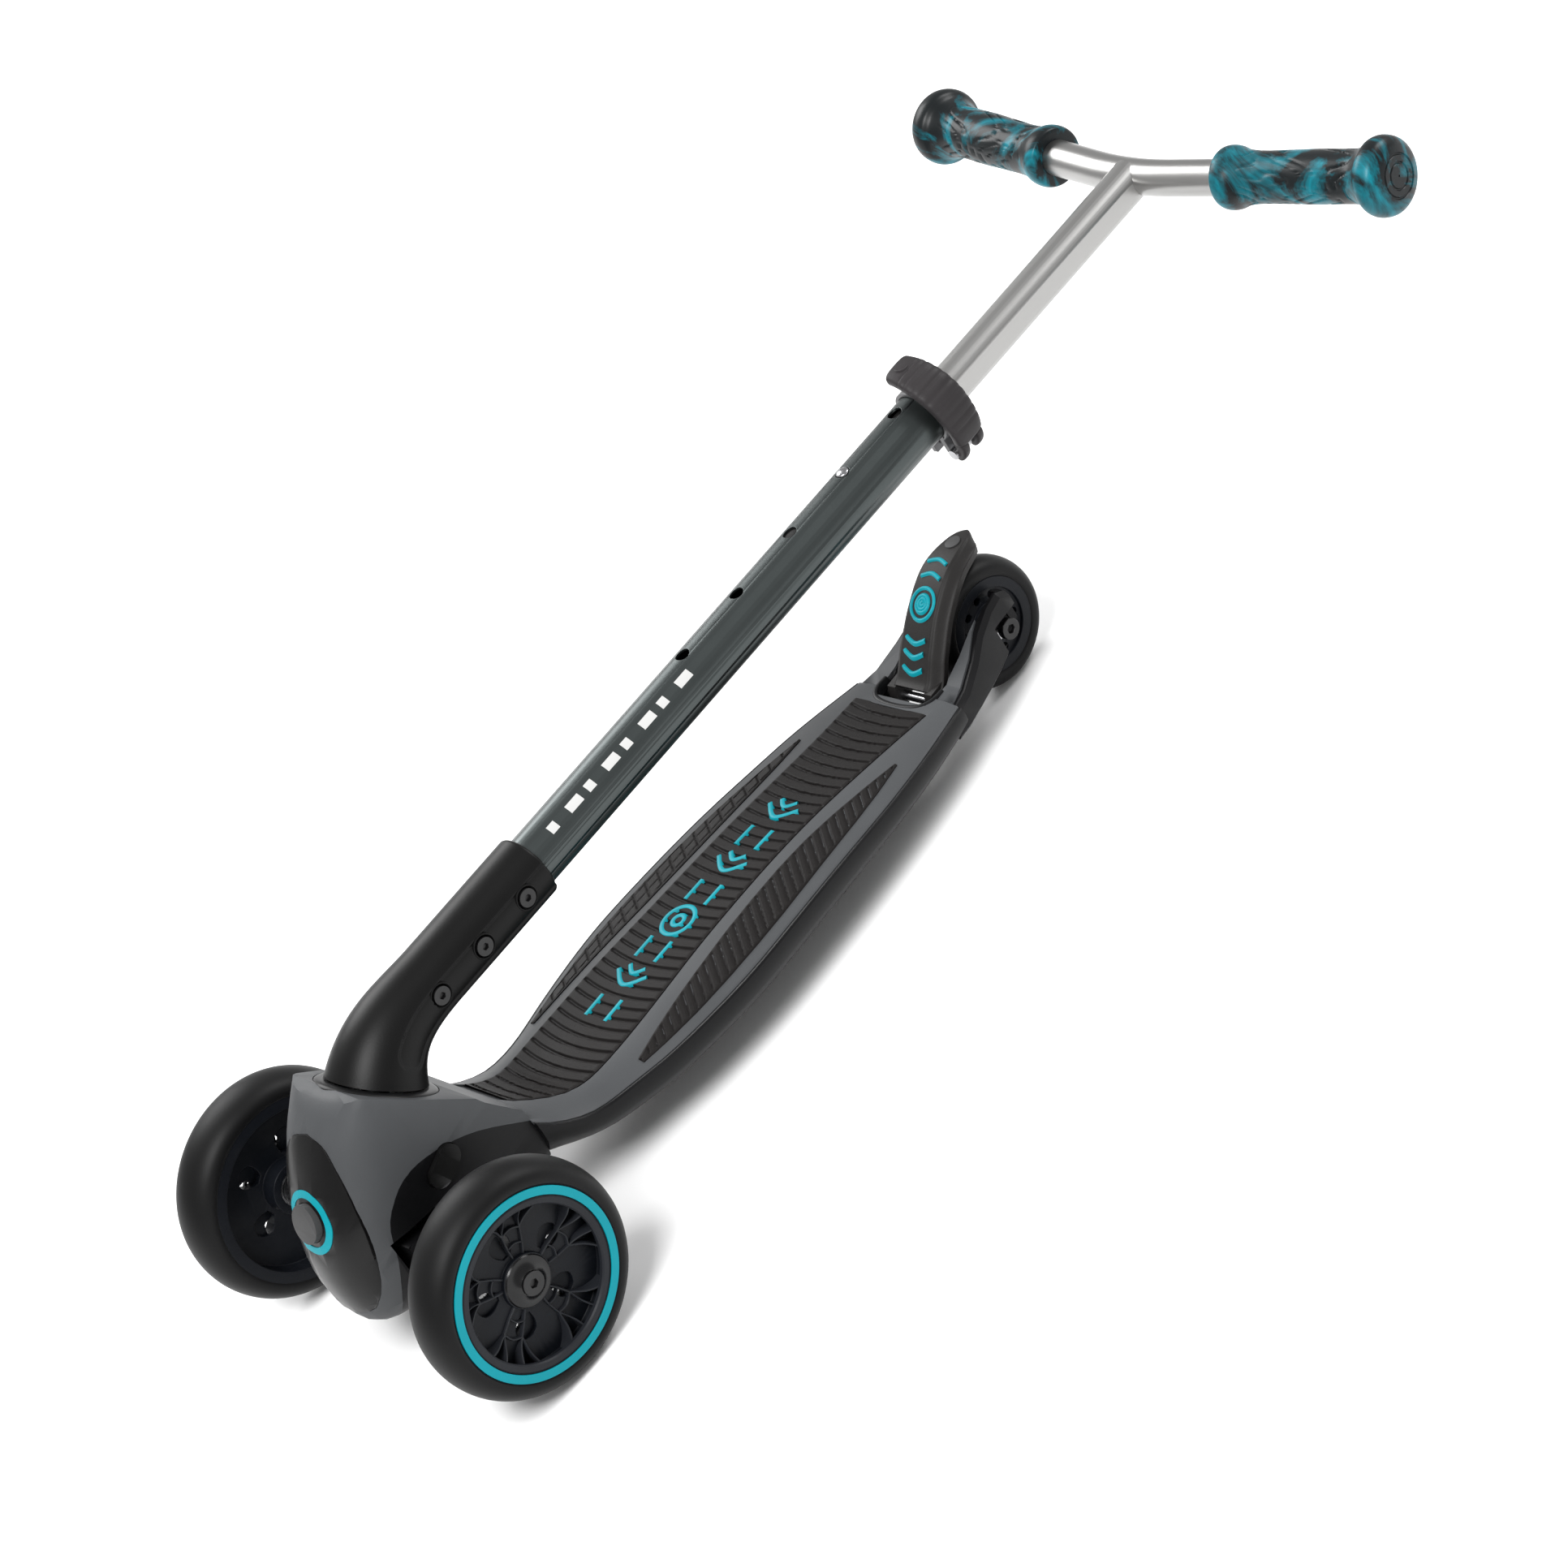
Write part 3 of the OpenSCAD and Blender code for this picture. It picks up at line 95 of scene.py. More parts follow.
def surface(name, colour, rough, metal=0.0, fleck=0.15, grain=900.0, bump=0.05, coat=0.0,
            stretch=(1, 1, 1), shine=0.16):
    """A moulded, painted or metal surface: cloudy colour, uneven gloss and a fine grain."""
    m = bpy.data.materials.new(name)
    m.use_nodes = True
    t = m.node_tree
    t.nodes.clear()
    link = t.links.new
    out = t.nodes.new("ShaderNodeOutputMaterial")
    p = t.nodes.new("ShaderNodeBsdfPrincipled")
    link(p.outputs[0], out.inputs[0])
    where = t.nodes.new("ShaderNodeTexCoord")
    place = t.nodes.new("ShaderNodeMapping")
    place.inputs["Scale"].default_value = stretch
    link(where.outputs["Object"], place.inputs["Vector"])
    broad = t.nodes.new("ShaderNodeTexNoise")
    broad.inputs["Scale"].default_value = CLOUDS
    broad.inputs["Detail"].default_value = 5
    link(place.outputs[0], broad.inputs["Vector"])
    ramp = t.nodes.new("ShaderNodeValToRGB")
    dark = [c * DEPTH * (1 - fleck) for c in colour]
    light = [min(1, c * DEPTH * (1 + fleck)) for c in colour]
    ramp.color_ramp.elements[0].color = (*dark, 1)
    ramp.color_ramp.elements[0].position = 0.35
    ramp.color_ramp.elements[1].color = (*light, 1)
    ramp.color_ramp.elements[1].position = 0.65
    link(broad.outputs["Fac"], ramp.inputs[0])
    link(ramp.outputs[0], p.inputs["Base Color"])
    gloss = t.nodes.new("ShaderNodeMapRange")
    gloss.inputs["To Min"].default_value = rough * 0.88
    gloss.inputs["To Max"].default_value = min(1, rough * 1.12)
    link(broad.outputs["Fac"], gloss.inputs["Value"])
    link(gloss.outputs[0], p.inputs["Roughness"])
    fine = t.nodes.new("ShaderNodeTexNoise")
    fine.inputs["Scale"].default_value = grain
    fine.inputs["Detail"].default_value = 3
    link(place.outputs[0], fine.inputs["Vector"])
    relief = t.nodes.new("ShaderNodeBump")
    relief.inputs["Strength"].default_value = bump
    relief.inputs["Distance"].default_value = 0.0004
    link(fine.outputs["Fac"], relief.inputs["Height"])
    link(relief.outputs[0], p.inputs["Normal"])
    p.inputs["Metallic"].default_value = metal
    p.inputs["Specular IOR Level"].default_value = 0.5 if metal else shine
    p.inputs["Coat Weight"].default_value = coat
    p.inputs["Coat Roughness"].default_value = 0.25
    return m


def marbled(name, colour, dark, rough):
    """Rubber swirled from two colours."""
    m = surface(name, dark, rough, bump=0.08, grain=700)
    t = m.node_tree
    p = next(n for n in t.nodes if n.type == "BSDF_PRINCIPLED")
    ramp = next(n for n in t.nodes if n.type == "VALTORGB")
    place = next(n for n in t.nodes if n.type == "MAPPING")
    swirl = t.nodes.new("ShaderNodeTexNoise")
    swirl.inputs["Scale"].default_value = 13
    swirl.inputs["Detail"].default_value = 7
    swirl.inputs["Roughness"].default_value = 0.62
    swirl.inputs["Distortion"].default_value = 2.4
    t.links.new(place.outputs[0], swirl.inputs["Vector"])
    t.links.new(swirl.outputs["Fac"], ramp.inputs[0])
    ramp.color_ramp.elements[0].color = (*dark, 1)
    ramp.color_ramp.elements[0].position = 0.47
    ramp.color_ramp.elements[1].color = (*colour, 1)
    ramp.color_ramp.elements[1].position = 0.66
    p.inputs["Coat Weight"].default_value = 0.15
    return m


FRAME_BLACK = surface("frame_black", (0.0055, 0.0055, 0.0062), 0.4, bump=0.08)
SHELL_GREY = surface("shell_grey", (0.088, 0.092, 0.097), 0.5, fleck=0.05, bump=0.12)
MAT_BLACK = surface("mat_black", (0.0085, 0.0068, 0.0064), 0.6, bump=0.3, grain=1500, shine=0.15)
BADGE_BLACK = surface("badge_black", (0.005, 0.0048, 0.005), 0.3, bump=0.03, coat=0.12)
TEAL = surface("teal", (0.0, 0.375, 0.455), 0.45, fleck=0.04, bump=0.05)
BUTTON_GREY = surface("button_grey", (0.075, 0.075, 0.076), 0.5, bump=0.1)
BEZEL = surface("bezel", (0.006, 0.006, 0.0065), 0.38)
CAST = surface("cast_alloy", (0.55, 0.55, 0.56), 0.45, metal=1.0, bump=0.3, grain=500)
STEEL = surface("steel", (0.62, 0.62, 0.64), 0.25, metal=1.0, bump=0.03)
BLACK_STEEL = surface("black_steel", (0.008, 0.008, 0.0085), 0.32, bump=0.05, shine=0.4)
SPRING = surface("spring_steel", (0.12, 0.12, 0.125), 0.35, metal=1.0)
TYRE = surface("tyre_black", (0.0045, 0.0045, 0.0048), 0.5, bump=0.1, grain=1200)
CORE = surface("core_black", (0.006, 0.0075, 0.011), 0.45, bump=0.12)
BRAKE = surface("brake_grey", (0.022, 0.0205, 0.020), 0.48, bump=0.2, grain=1100)
STEM = surface("stem_black", (0.004, 0.004, 0.004), 0.42, bump=0.12, grain=1000)
TUBE = surface("tube_grey", (0.105, 0.120, 0.120), 0.34, metal=0.9, fleck=0.04, bump=0.05, grain=2500)
SILVER = surface("silver", (0.58, 0.575, 0.565), 0.33, metal=1.0, fleck=0.03, bump=0.05, grain=900,
                 stretch=(1, 0.06, 1))
BAND = surface("band_grey", (0.16, 0.16, 0.165), 0.4, metal=0.4)
LEVER = surface("lever_grey", (0.042, 0.038, 0.040), 0.48, bump=0.15)
GRIP = marbled("grip_marble", (0.0, 0.17, 0.22), (0.003, 0.005, 0.006), 0.45)
BUSH = surface("bush_black", (0.012, 0.012, 0.012), 0.5)
FINISH = {
    "frame_black": FRAME_BLACK, "shell_grey": SHELL_GREY, "mat": MAT_BLACK, "badge": BADGE_BLACK,
    "teal": TEAL, "button_grey": BUTTON_GREY, "bezel": BEZEL, "zinc": CAST, "steel": STEEL,
    "bolt_black": BLACK_STEEL, "spring": SPRING, "tyre": TYRE, "core": CORE, "brake": BRAKE,
    "stem_black": STEM, "tube_grey": TUBE, "silver": SILVER, "band": BAND, "lever": LEVER,
    "grip": GRIP, "bush": BUSH,
}
for part in frame["record"]["subparts"]:
    node = NODES[part["node"]]
    node.data.materials.clear()
    node.data.materials.append(FINISH[part["material_slot"]])

# ---- Mesh helpers ----------------------------------------------------------


def piece(name, verts, faces, material, body, finish, nodes=(), bevel=0.0, angle=35):
    """A closed mesh in the row frame that rides a CAD body and may stand for CAD nodes."""
    mesh = bpy.data.meshes.new(name)
    mesh.from_pydata([tuple(v) for v in verts], [], faces)
    bm = bmesh.new()
    bm.from_mesh(mesh)
    bmesh.ops.remove_doubles(bm, verts=bm.verts, dist=2e-6)
    bmesh.ops.recalc_face_normals(bm, faces=bm.faces)
    bm.to_mesh(mesh)
    bm.free()
    return finish_piece(name, mesh, material, body, finish, nodes, bevel, angle)


def finish_piece(name, mesh, material, body, finish, nodes, bevel, angle):
    """Shading, rounded edges and the link to the CAD."""
    for face in mesh.polygons:
        face.use_smooth = True
    mesh.set_sharp_from_angle(angle=math.radians(angle))
    mesh.materials.clear()
    mesh.materials.append(material)
    o = bpy.data.objects.new(name, mesh)
    bpy.context.scene.collection.objects.link(o)
    if bevel:
        soft = o.modifiers.new("soft_edge", "BEVEL")
        soft.width = bevel
        soft.segments = 3
        soft.limit_method = "ANGLE"
        soft.angle_limit = math.radians(angle)
        soft.harden_normals = True
    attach(o, body)
    if nodes:
        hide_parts(*nodes)
    return o


def slot_of(node):
    return next(p["material_slot"] for p in frame["record"]["subparts"] if p["node"] == node)


def refine(node, bevel, angle=35):
    """A welded copy of a CAD node with soft edges and smooth shading, shown in its place."""
    bm = bmesh.new()
    bm.from_mesh(NODES[node].data)
    bmesh.ops.remove_doubles(bm, verts=bm.verts, dist=1e-5)
    bmesh.ops.dissolve_degenerate(bm, edges=bm.edges, dist=1e-6)
    mesh = bpy.data.meshes.new("soft_" + node)
    bm.to_mesh(mesh)
    bm.free()
    finish = slot_of(node)
    return finish_piece("soft_" + node, mesh, FINISH[finish], NODES[node]["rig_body"], finish, [node],
                        bevel, angle)


def weave(rows, closed=False):
    """Vertices and faces through rings of points: the last joins the first, or both ends are capped."""
    m, n = len(rows), len(rows[0])
    verts = [p for row in rows for p in row]
    faces = []
    for i in range(m if closed else m - 1):
        k = (i + 1) % m
        for j in range(n):
            after = (j + 1) % n
            faces.append((i * n + j, i * n + after, k * n + after, k * n + j))
    if not closed:
        faces.append(tuple(range(n)))
        faces.append(tuple(range((m - 1) * n, m * n)))
    return verts, faces


def turned(profile, place, steps, ripple=None):
    """Points [radius, height] in millimetres turned about the local z of place."""
    rows = []
    for i in range(steps):
        a = 2 * math.pi * i / steps
        row = []
        for r, z in profile:
            q = r + (ripple(r, z, a) if ripple else 0)
            row.append(place @ Vector((q * math.cos(a) * MM, q * math.sin(a) * MM, z * MM)))
        rows.append(row)
    return weave(rows, closed=True)


def between(a, b, c, d, t):
    """A value on the smooth curve from b to c, with a before them and d after."""
    square = 2 * a - 5 * b + 4 * c - d
    cube = 3 * b - a - 3 * c + d
    return 0.5 * (2 * b + (c - a) * t + square * t * t + cube * t ** 3)


def curve(points, n):
    """A smooth line through points, n steps to each span."""
    out = []
    p = [points[0], *points, points[-1]]
    for i in range(1, len(p) - 2):
        for k in range(n):
            t = k / n
            near = zip(p[i - 1], p[i], p[i + 1], p[i + 2])
            out.append(tuple(between(a, b, c, d, t) for a, b, c, d in near))
    out.append(tuple(points[-1]))
    return out


def step(low, high, v):
    """A smooth rise from 0 at low to 1 at high."""
    t = max(0.0, min(1.0, (v - low) / (high - low)))
    return t * t * (3 - 2 * t)


# A rib's section: its foot and flat top against its width, and the drop of its rounded shoulder.
RIB_FOOT = 1.35
RIB_FLAT = 0.6
RIB_SHOULDER = 0.4


def strip(line, width, low, high, place):
    """A raised rib along a flat line: low and high give its foot and top at a point, in millimetres."""
    rows = []
    for i, (x, y) in enumerate(line):
        a = line[max(i - 1, 0)]
        b = line[min(i + 1, len(line) - 1)]
        d = Vector((b[0] - a[0], b[1] - a[1])).normalized()
        side = Vector((-d.y, d.x)) * width / 2
        z0, z1 = low(x, y), high(x, y)
        half = [(RIB_FOOT, z0), (1, z1 - RIB_SHOULDER), (RIB_FLAT, z1)]
        section = half + [(-out, z) for out, z in reversed(half)]
        row = []
        for out, z in section:
            row.append(place @ Vector(((x + side.x * out) * MM, (y + side.y * out) * MM, z * MM)))
        rows.append(row)
    return weave(rows)


def join(parts):
    """One vertex and face list from several."""
    verts, faces = [], []
    for v, f in parts:
        faces += [tuple(i + len(verts) for i in face) for face in f]
        verts += list(v)
    return verts, faces


def wheel_place(joint, sign):
    """Local z runs outward along the axle."""
    at = Vector(JOINTS[joint]["pos_m"])
    turn = Matrix.Rotation(math.radians(90 * sign), 4, "Y")
    return Matrix.Translation(at) @ turn


def tube_place():
    """The T-bar's frame: z along the tube, x to the left, y towards the deck."""
    zone = next(m for m in frame["record"]["mounts"] if m["name"] == "tube_clamp_zone")
    along = Vector(zone["axis"]).normalized()
    side = Vector((1, 0, 0))
    down = along.cross(side)
    m = Matrix((side, down, along)).transposed().to_4x4()
    return Matrix.Translation(Vector(zone["pos_m"]) - along * TUBE_ZONE) @ m


# Distance from the T-bar frame's origin to the middle of the tube's clamp zone.
TUBE_ZONE = 0.205
TBAR = tube_place()
TUBE_R = 16.5

# ---- Front wheels ----------------------------------------------------------

TYRE_R = 68
TYRE_HALF = 17
LIP_R = 56.2
FOOT_R = 52.2
DISH_R = 49
WEB_TOP = 5
RIB_WIDTH = 1.3
THIN_RIB = 1.1


def tyre_line(radius, half, lip, foot):
    """Half of a tyre's outline from its lip on one side to the other, as [radius, offset]."""
    side = [(foot, -half + 2.2), (lip - 0.7, -half + 1.0), (lip, -half + 0.3), (lip + 0.8, -half)]
    span = []
    for k in range(25):
        a = math.radians(-86 + 172 * k / 24)
        span.append((radius - 0.6 * half * (1 - math.cos(a)), half * math.sin(a)))
    return side + span + [(r, -z) for r, z in reversed(side)]


def rib_top(x, y):
    """Ribs rise towards the rim."""
    return 6.5 + 8.0 * step(30, DISH_R, math.hypot(x, y))


def rib_foot(x, y):
    """Ribs stand on the web."""
    return WEB_TOP - 1.0


def rib(points, count, width, turn):
    return strip(curve(points, count), width, rib_foot, rib_top, turn)


def front_wheel(side, sign):
    place = wheel_place("wheel_" + side + "_spin", sign)
    body = "wheel_" + side
    v, f = turned(tyre_line(TYRE_R, TYRE_HALF, LIP_R, FOOT_R), place, 180)
    piece("tyre_" + side, v, f, TYRE, body, "tyre", ["front_tyre_" + side])
    parts = []
    for k in range(5):
        turn = place @ Matrix.Rotation(math.radians(72 * k + 18), 4, "Z")
        for s in (-1, 1):
            spoke = [(14.5, 3.2 * s), (22, 5.0 * s), (31, 6.2 * s)]
            branch = [(31, 6.2 * s), (38, 11 * s), (42.5, 17 * s), (44.5, 22 * s)]
            twig = [(31, 6.2 * s), (40, 5.4 * s), (49, 7.0 * s)]
            parts.append(rib(spoke, 6, RIB_WIDTH, turn))
            parts.append(rib(branch, 6, RIB_WIDTH, turn))
            parts.append(rib(twig, 6, THIN_RIB, turn))
        parts.append(rib([(22, -5), (23.5, 0), (22, 5)], 5, THIN_RIB, turn))
        parts.append(rib([(31, -6.2), (33, 0), (31, 6.2)], 5, RIB_WIDTH, turn))
    web(place, side)
    piece("rib_star_" + side, *join(parts), RIB, body, "core")
    lip_line = [(44.6, 13.2), (44.6, 15.4), (45.4, 16.3), (48.4, 16.6), (49.2, 16.2), (49.2, 13.2)]
    piece("rim_lip_" + side, *turned(lip_line, place, 160), RIB, body, "core", angle=28)
    cap_line = [(3.4, 8.6), (3.6, 11.2), (5.0, 12.0), (7.4, 12.2), (8.2, 11.4), (11.5, 9.2), (14.6, 8.8),
                (15.6, 7.6), (15.6, 5), (3.4, 5)]
    piece("hub_ring_" + side, *turned(cap_line, place, 96), HUB, body, "core", angle=28)
    refine("front_core_" + side, 0.5 * MM)
    refine("front_ring_" + side, 0.25 * MM)


def web(place, side):
    """The dished web between hub and rim, with a small drop-shaped window in each bay."""
    bm = bmesh.new()
    radii = np.linspace(15.2, 49.4, 46)
    turns = 260
    grid = []
    for r in radii:
        dish = 3.2 - 2.6 * math.sin(math.pi * (r - 15) / 35)
        grid.append([bm.verts.new(place @ Vector((r * math.cos(a) * MM, r * math.sin(a) * MM, dish * MM)))
                     for a in np.linspace(0, 2 * math.pi, turns, endpoint=False)])
    for i in range(len(radii) - 1):
        r = (radii[i] + radii[i + 1]) / 2
        for j in range(turns):
            a = (360 * (j + 0.5) / turns - 54) % 72 - 36
            wide = 6.2 * math.sin(math.pi * min(max((r - 18) / 15, 0), 1) ** 1.3)
            if r * math.sin(math.radians(abs(a))) < wide:
                continue
            k = (j + 1) % turns
            bm.faces.new((grid[i][j], grid[i][k], grid[i + 1][k], grid[i + 1][j]))
    loose = [v for v in bm.verts if not v.link_faces]
    bmesh.ops.delete(bm, geom=loose, context="VERTS")
    bmesh.ops.recalc_face_normals(bm, faces=bm.faces)
    mesh = bpy.data.meshes.new("web_" + side)
    bm.to_mesh(mesh)
    bm.free()
    o = finish_piece("web_" + side, mesh, CORE, "wheel_" + side, "core", [], 0, 35)
    thick = o.modifiers.new("thickness", "SOLIDIFY")
    thick.thickness = 2.6 * MM
    thick.offset = 0


REAR_R = 41
REAR_HALF = 13
REAR_LIP_R = 30.2
REAR_FOOT_R = 27.2


def rear_wheel():
    place = wheel_place("rear_wheel_spin", 1)
    v, f = turned(tyre_line(REAR_R, REAR_HALF, REAR_LIP_R, REAR_FOOT_R), place, 144)
    piece("tyre_rear", v, f, TYRE, "rear_wheel", "tyre", ["rear_tyre"])
    refine("rear_core", 0.5 * MM)


# ---- Deck ------------------------------------------------------------------

# How far the edge of a rebuilt mat reaches below its top.
MAT_SKIRT = 2.2 * MM


def height_over(*nodes):
    """A function that gives the height of the first CAD surface below a point, or None."""
    trees = [BVHTree.FromPolygons([v.co for v in NODES[n].data.vertices],
                                  [tuple(p.vertices) for p in NODES[n].data.polygons]) for n in nodes]

    def top(x, y):
        found = [t.ray_cast(Vector((x, y, 1)), Vector((0, 0, -1)))[0] for t in trees]
        found = [h.z for h in found if h is not None]
        return max(found) if found else None

    return top


def span_at(top, y, low, high, count=70):
    """First and last x at which a node is hit along a line across the deck."""
    hits = [x for x in np.linspace(low, high, count) if top(x, y) is not None]
    if not hits:
        return None
    ends = []
    for edge, way in ((hits[0], -1), (hits[-1], 1)):
        inner, outer = edge, edge + way * (high - low) / (count - 1)
        for _ in range(12):
            mid = (inner + outer) / 2
            if top(mid, y) is None:
                outer = mid
            else:
                inner = mid
        ends.append(inner)
    return ends


def relief(name, node, pitch, columns, depth):
    """The top of a mat rebuilt as a fine grid with a pattern pressed into it."""
    low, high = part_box(node)
    top = height_over(node)
    rows = []
    count = int((high.y - low.y) / pitch)
    for i in range(count + 1):
        y = low.y + 0.0002 + (high.y - low.y - 0.0004) * i / count
        ends = span_at(top, y, low.x + 0.0001, high.x - 0.0001)
        if ends is None:
            continue
        a, b = ends
        row = [Vector((a, y, (top(a, y) or low.z) - MAT_SKIRT))]
        for j in range(columns + 1):
            x = a + (b - a) * j / columns
            z = top(min(max(x, a + 1e-6), b - 1e-6), y)
            edge = min(x - a, b - x)
            rim = 0.5 * MM * (1 - step(0, 1.2 * MM, edge))
            cut = depth(x, y, edge) * step(1.0 * MM, 1.6 * MM, edge)
            row.append(Vector((x, y, z - rim - cut)))
        row.append(Vector((b, y, (top(b, y) or low.z) - MAT_SKIRT)))
        rows.append(row)
    v, f = weave(rows)
    return piece(name, v, f, MAT_BLACK, NODES[node]["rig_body"], "mat", [node], angle=60)


def groove(value, pitch, width, depth):
    """Depth of a row of rounded grooves at a place along their spacing."""
    off = abs((value / pitch) % 1 - 0.5) * pitch
    return depth * (1 - step(width * 0.25, width * 0.5, off))


def arc_grooves(x, y, edge):
    bow = 5.5 * MM * (1 - (x / (38 * MM)) ** 2)
    return groove(y + bow, 8 * MM, 2.4 * MM, 1.5 * MM)


def hatch_grooves(x, y, edge):
    return groove(y + 0.75 * abs(x), 7 * MM, 2.4 * MM, 1.1 * MM)


def brick_grooves(x, y, edge):
    return max(groove(y - 0.55 * abs(x), 11 * MM, 2.2 * MM, 0.9 * MM),
               groove(abs(x) - 0.012 * y, 9 * MM, 1.4 * MM, 0.8 * MM))


def deck():
    relief("mat_centre", "centre_mat", 0.45 * MM, 44, arc_grooves)
    relief("mat_side_left", "side_mat_left", 0.6 * MM, 24, hatch_grooves)
    relief("mat_side_right", "side_mat_right", 0.6 * MM, 24, brick_grooves)
    refine("deck_shell", 1.0 * MM, 30)
    refine("deck_frame", 1.6 * MM, 30)
    marks()


MARK_WIDTH = 3.2
MARK_PITCH = 23
RING_MARK = 3


def marks():
    """Plain teal bars, arrows and a ring along the middle of the mat."""
    top = height_over("centre_mat")

    def high(x, y):
        return (top(x * MM, y * MM) or 0) / MM + 0.35

    def low(x, y):
        return high(x, y) - 1.6

    parts = []
    at_rest = Matrix.Identity(4)
    for k, y in enumerate(range(-196, -12, MARK_PITCH)):
        if k == RING_MARK:
            lines = [[(r * math.cos(a), y + r * math.sin(a)) for a in np.linspace(0, 2 * math.pi, count)]
                     for r, count in ((11, 49), (4, 25))]
        elif k % 2:
            lines = [curve([(-13, y + 4), (0, y - 5), (13, y + 4)], 8),
                     curve([(-7, y + 9), (0, y + 4), (7, y + 9)], 8)]
        else:
            lines = [[(x, y - 8 + 2 * i) for i in range(9)] for x in (-9, 9)]
        parts += [strip(line, MARK_WIDTH, low, high, at_rest) for line in lines]
    v, f = join(parts)
    piece("mat_marks", v, f, TEAL, "chassis", "teal", angle=50)


# ---- T-bar -----------------------------------------------------------------

# The neck's bend: how far each end runs straight on, and where it meets the sleeve.
NECK_PULL = 27
NECK_HIGH = 46
SLEEVE_R = 20.6
BASE_R = 29.3
SLEEVE_TOP = 131
SLEEVE_EDGE = 2.2
SLEEVE_BORE_R = 16.6
BOLTS = (35, 72.5, 110)


def neck_line(count):
    """Points, directions and radii of the stem's middle line, from the collar to the sleeve."""
    joint = JOINTS["fold_turn"]
    inverse = TBAR.inverted()
    start = inverse @ Vector(joint["pos_m"]) * 1000
    way = (inverse.to_3x3() @ Vector(joint["axis"])).normalized()
    a = start + way * 2.2
    d = Vector((0, 0, NECK_HIGH))
    b, c = a + way * NECK_PULL, d - Vector((0, 0, NECK_PULL))
    out = []
    for i in range(count + 1):
        t = i / count
        p = a * (1 - t) ** 3 + 3 * b * t * (1 - t) ** 2 + 3 * c * t * t * (1 - t) + d * t ** 3
        q = 3 * (b - a) * (1 - t) ** 2 + 6 * (c - b) * t * (1 - t) + 3 * (d - c) * t * t
        r = BASE_R + (SLEEVE_R - BASE_R) * (1 - (1 - t) ** 1.7)
        out.append((p, q.normalized(), r))
    return out


def stem():
    rings = neck_line(70)
    along = Vector((0, 0, 1))
    for z in np.arange(NECK_HIGH + 0.7, SLEEVE_TOP - 2.4, 0.7):
        rings.append((Vector((0, 0, z)), along, SLEEVE_R))
    for k in range(7):
        a = math.radians(15 * k)
        z = SLEEVE_TOP - SLEEVE_EDGE + SLEEVE_EDGE * math.sin(a)
        rings.append((Vector((0, 0, z)), along, SLEEVE_R - SLEEVE_EDGE + SLEEVE_EDGE * math.cos(a)))
    for z in (SLEEVE_TOP, SLEEVE_TOP - 8):
        rings.append((Vector((0, 0, z)), along, SLEEVE_BORE_R))
    rows = []
    side = Vector((1, 0, 0))
    around = 240
    run, before = 0, rings[0][0]
    for p, way, r in rings:
        up = side.cross(way)
        run += (p - before).length
        before = p
        row = []
        for j in range(around):
            a = 2 * math.pi * j / around
            out = side * math.cos(a) + up * math.sin(a)
            cut = stem_cut(p + out * r, run, -r * math.sin(a))
            row.append(TBAR @ ((p + out * (r - cut)) * MM))
        rows.append(row)
    v, f = weave(rows)
    piece("stem_cover", v, f, STEM, "stem", "stem_black", ["stem_base"], angle=40)
    parts = []
    for z in BOLTS:
        for s in (-1, 1):
            outward = Matrix.Rotation(math.radians(90 * s), 4, "Y")
            place = TBAR @ Matrix.Translation(Vector((0, 0, z * MM))) @ outward
            line = [(6.4, 15), (6.4, 19.4), (6.9, 19.9), (7.5, 19.7), (7.9, 18.5), (7.9, 15)]
            parts.append(turned(line, place, 48))
    v, f = join(parts)
    piece("bolt_rims", v, f, STEM, "stem", "stem_black", angle=30)


def stem_cut(p, run, drop):
    """How far the stem's skin is pressed in: a long channel down each side and the bolt holes."""
    low, high, middle, half, corner = 11.0, 168.0, 2.5, 10.0, 9.0
    across = abs(drop - middle) - half + corner
    along = max(low - run, run - high) + corner
    away = math.hypot(max(across, 0), max(along, 0)) + min(max(across, along), 0) - corner
    cut = 1.2 * (1 - step(-1.3, 0.2, away))
    for z in BOLTS:
        cut = max(cut, 3.4 * (1 - step(5.6, 6.9, math.hypot(p.z - z, p.y))))
    return cut


def grip_line():
    """Outline of a grip from its inner collar to its end cap, as [radius, place along the bar]."""
    outer = curve([(16.2, 75.4), (18.2, 76.4), (19.2, 80), (18.8, 85), (16.6, 92), (15.6, 104), (15.8, 125),
                   (16.2, 145), (16.0, 165), (16.4, 176), (19.4, 184), (22.8, 188), (23.9, 192.5),
                   (22.8, 198), (19.5, 201.5), (16, 203)], 9)
    cap = [(13.6, 203.6), (13.1, 202.9), (12.5, 202.9), (12, 203.6), (8.6, 203.6), (8.1, 202.9),
           (7.5, 202.9), (7, 203.6), (0.6, 203.6)]
    inside = [(0.6, 199.6), (11.2, 199.6), (11.2, 75.4)]
    return outer + cap + inside


def grip_swirl(r, z, a):
    """Flowing grooves cut into the sleeve of a grip."""
    body = step(90, 98, z) * (1 - step(172, 182, z))
    if r < 12 or body <= 0:
        return 0
    wave = z / 15 + 0.9 * math.sin(2 * a + z / 24) + 0.5 * math.sin(3 * a - z / 11)
    line = abs(wave % 1 - 0.5)
    return -0.9 * body * (1 - step(0.03, 0.09, line))


BAR_APEX = 0.704


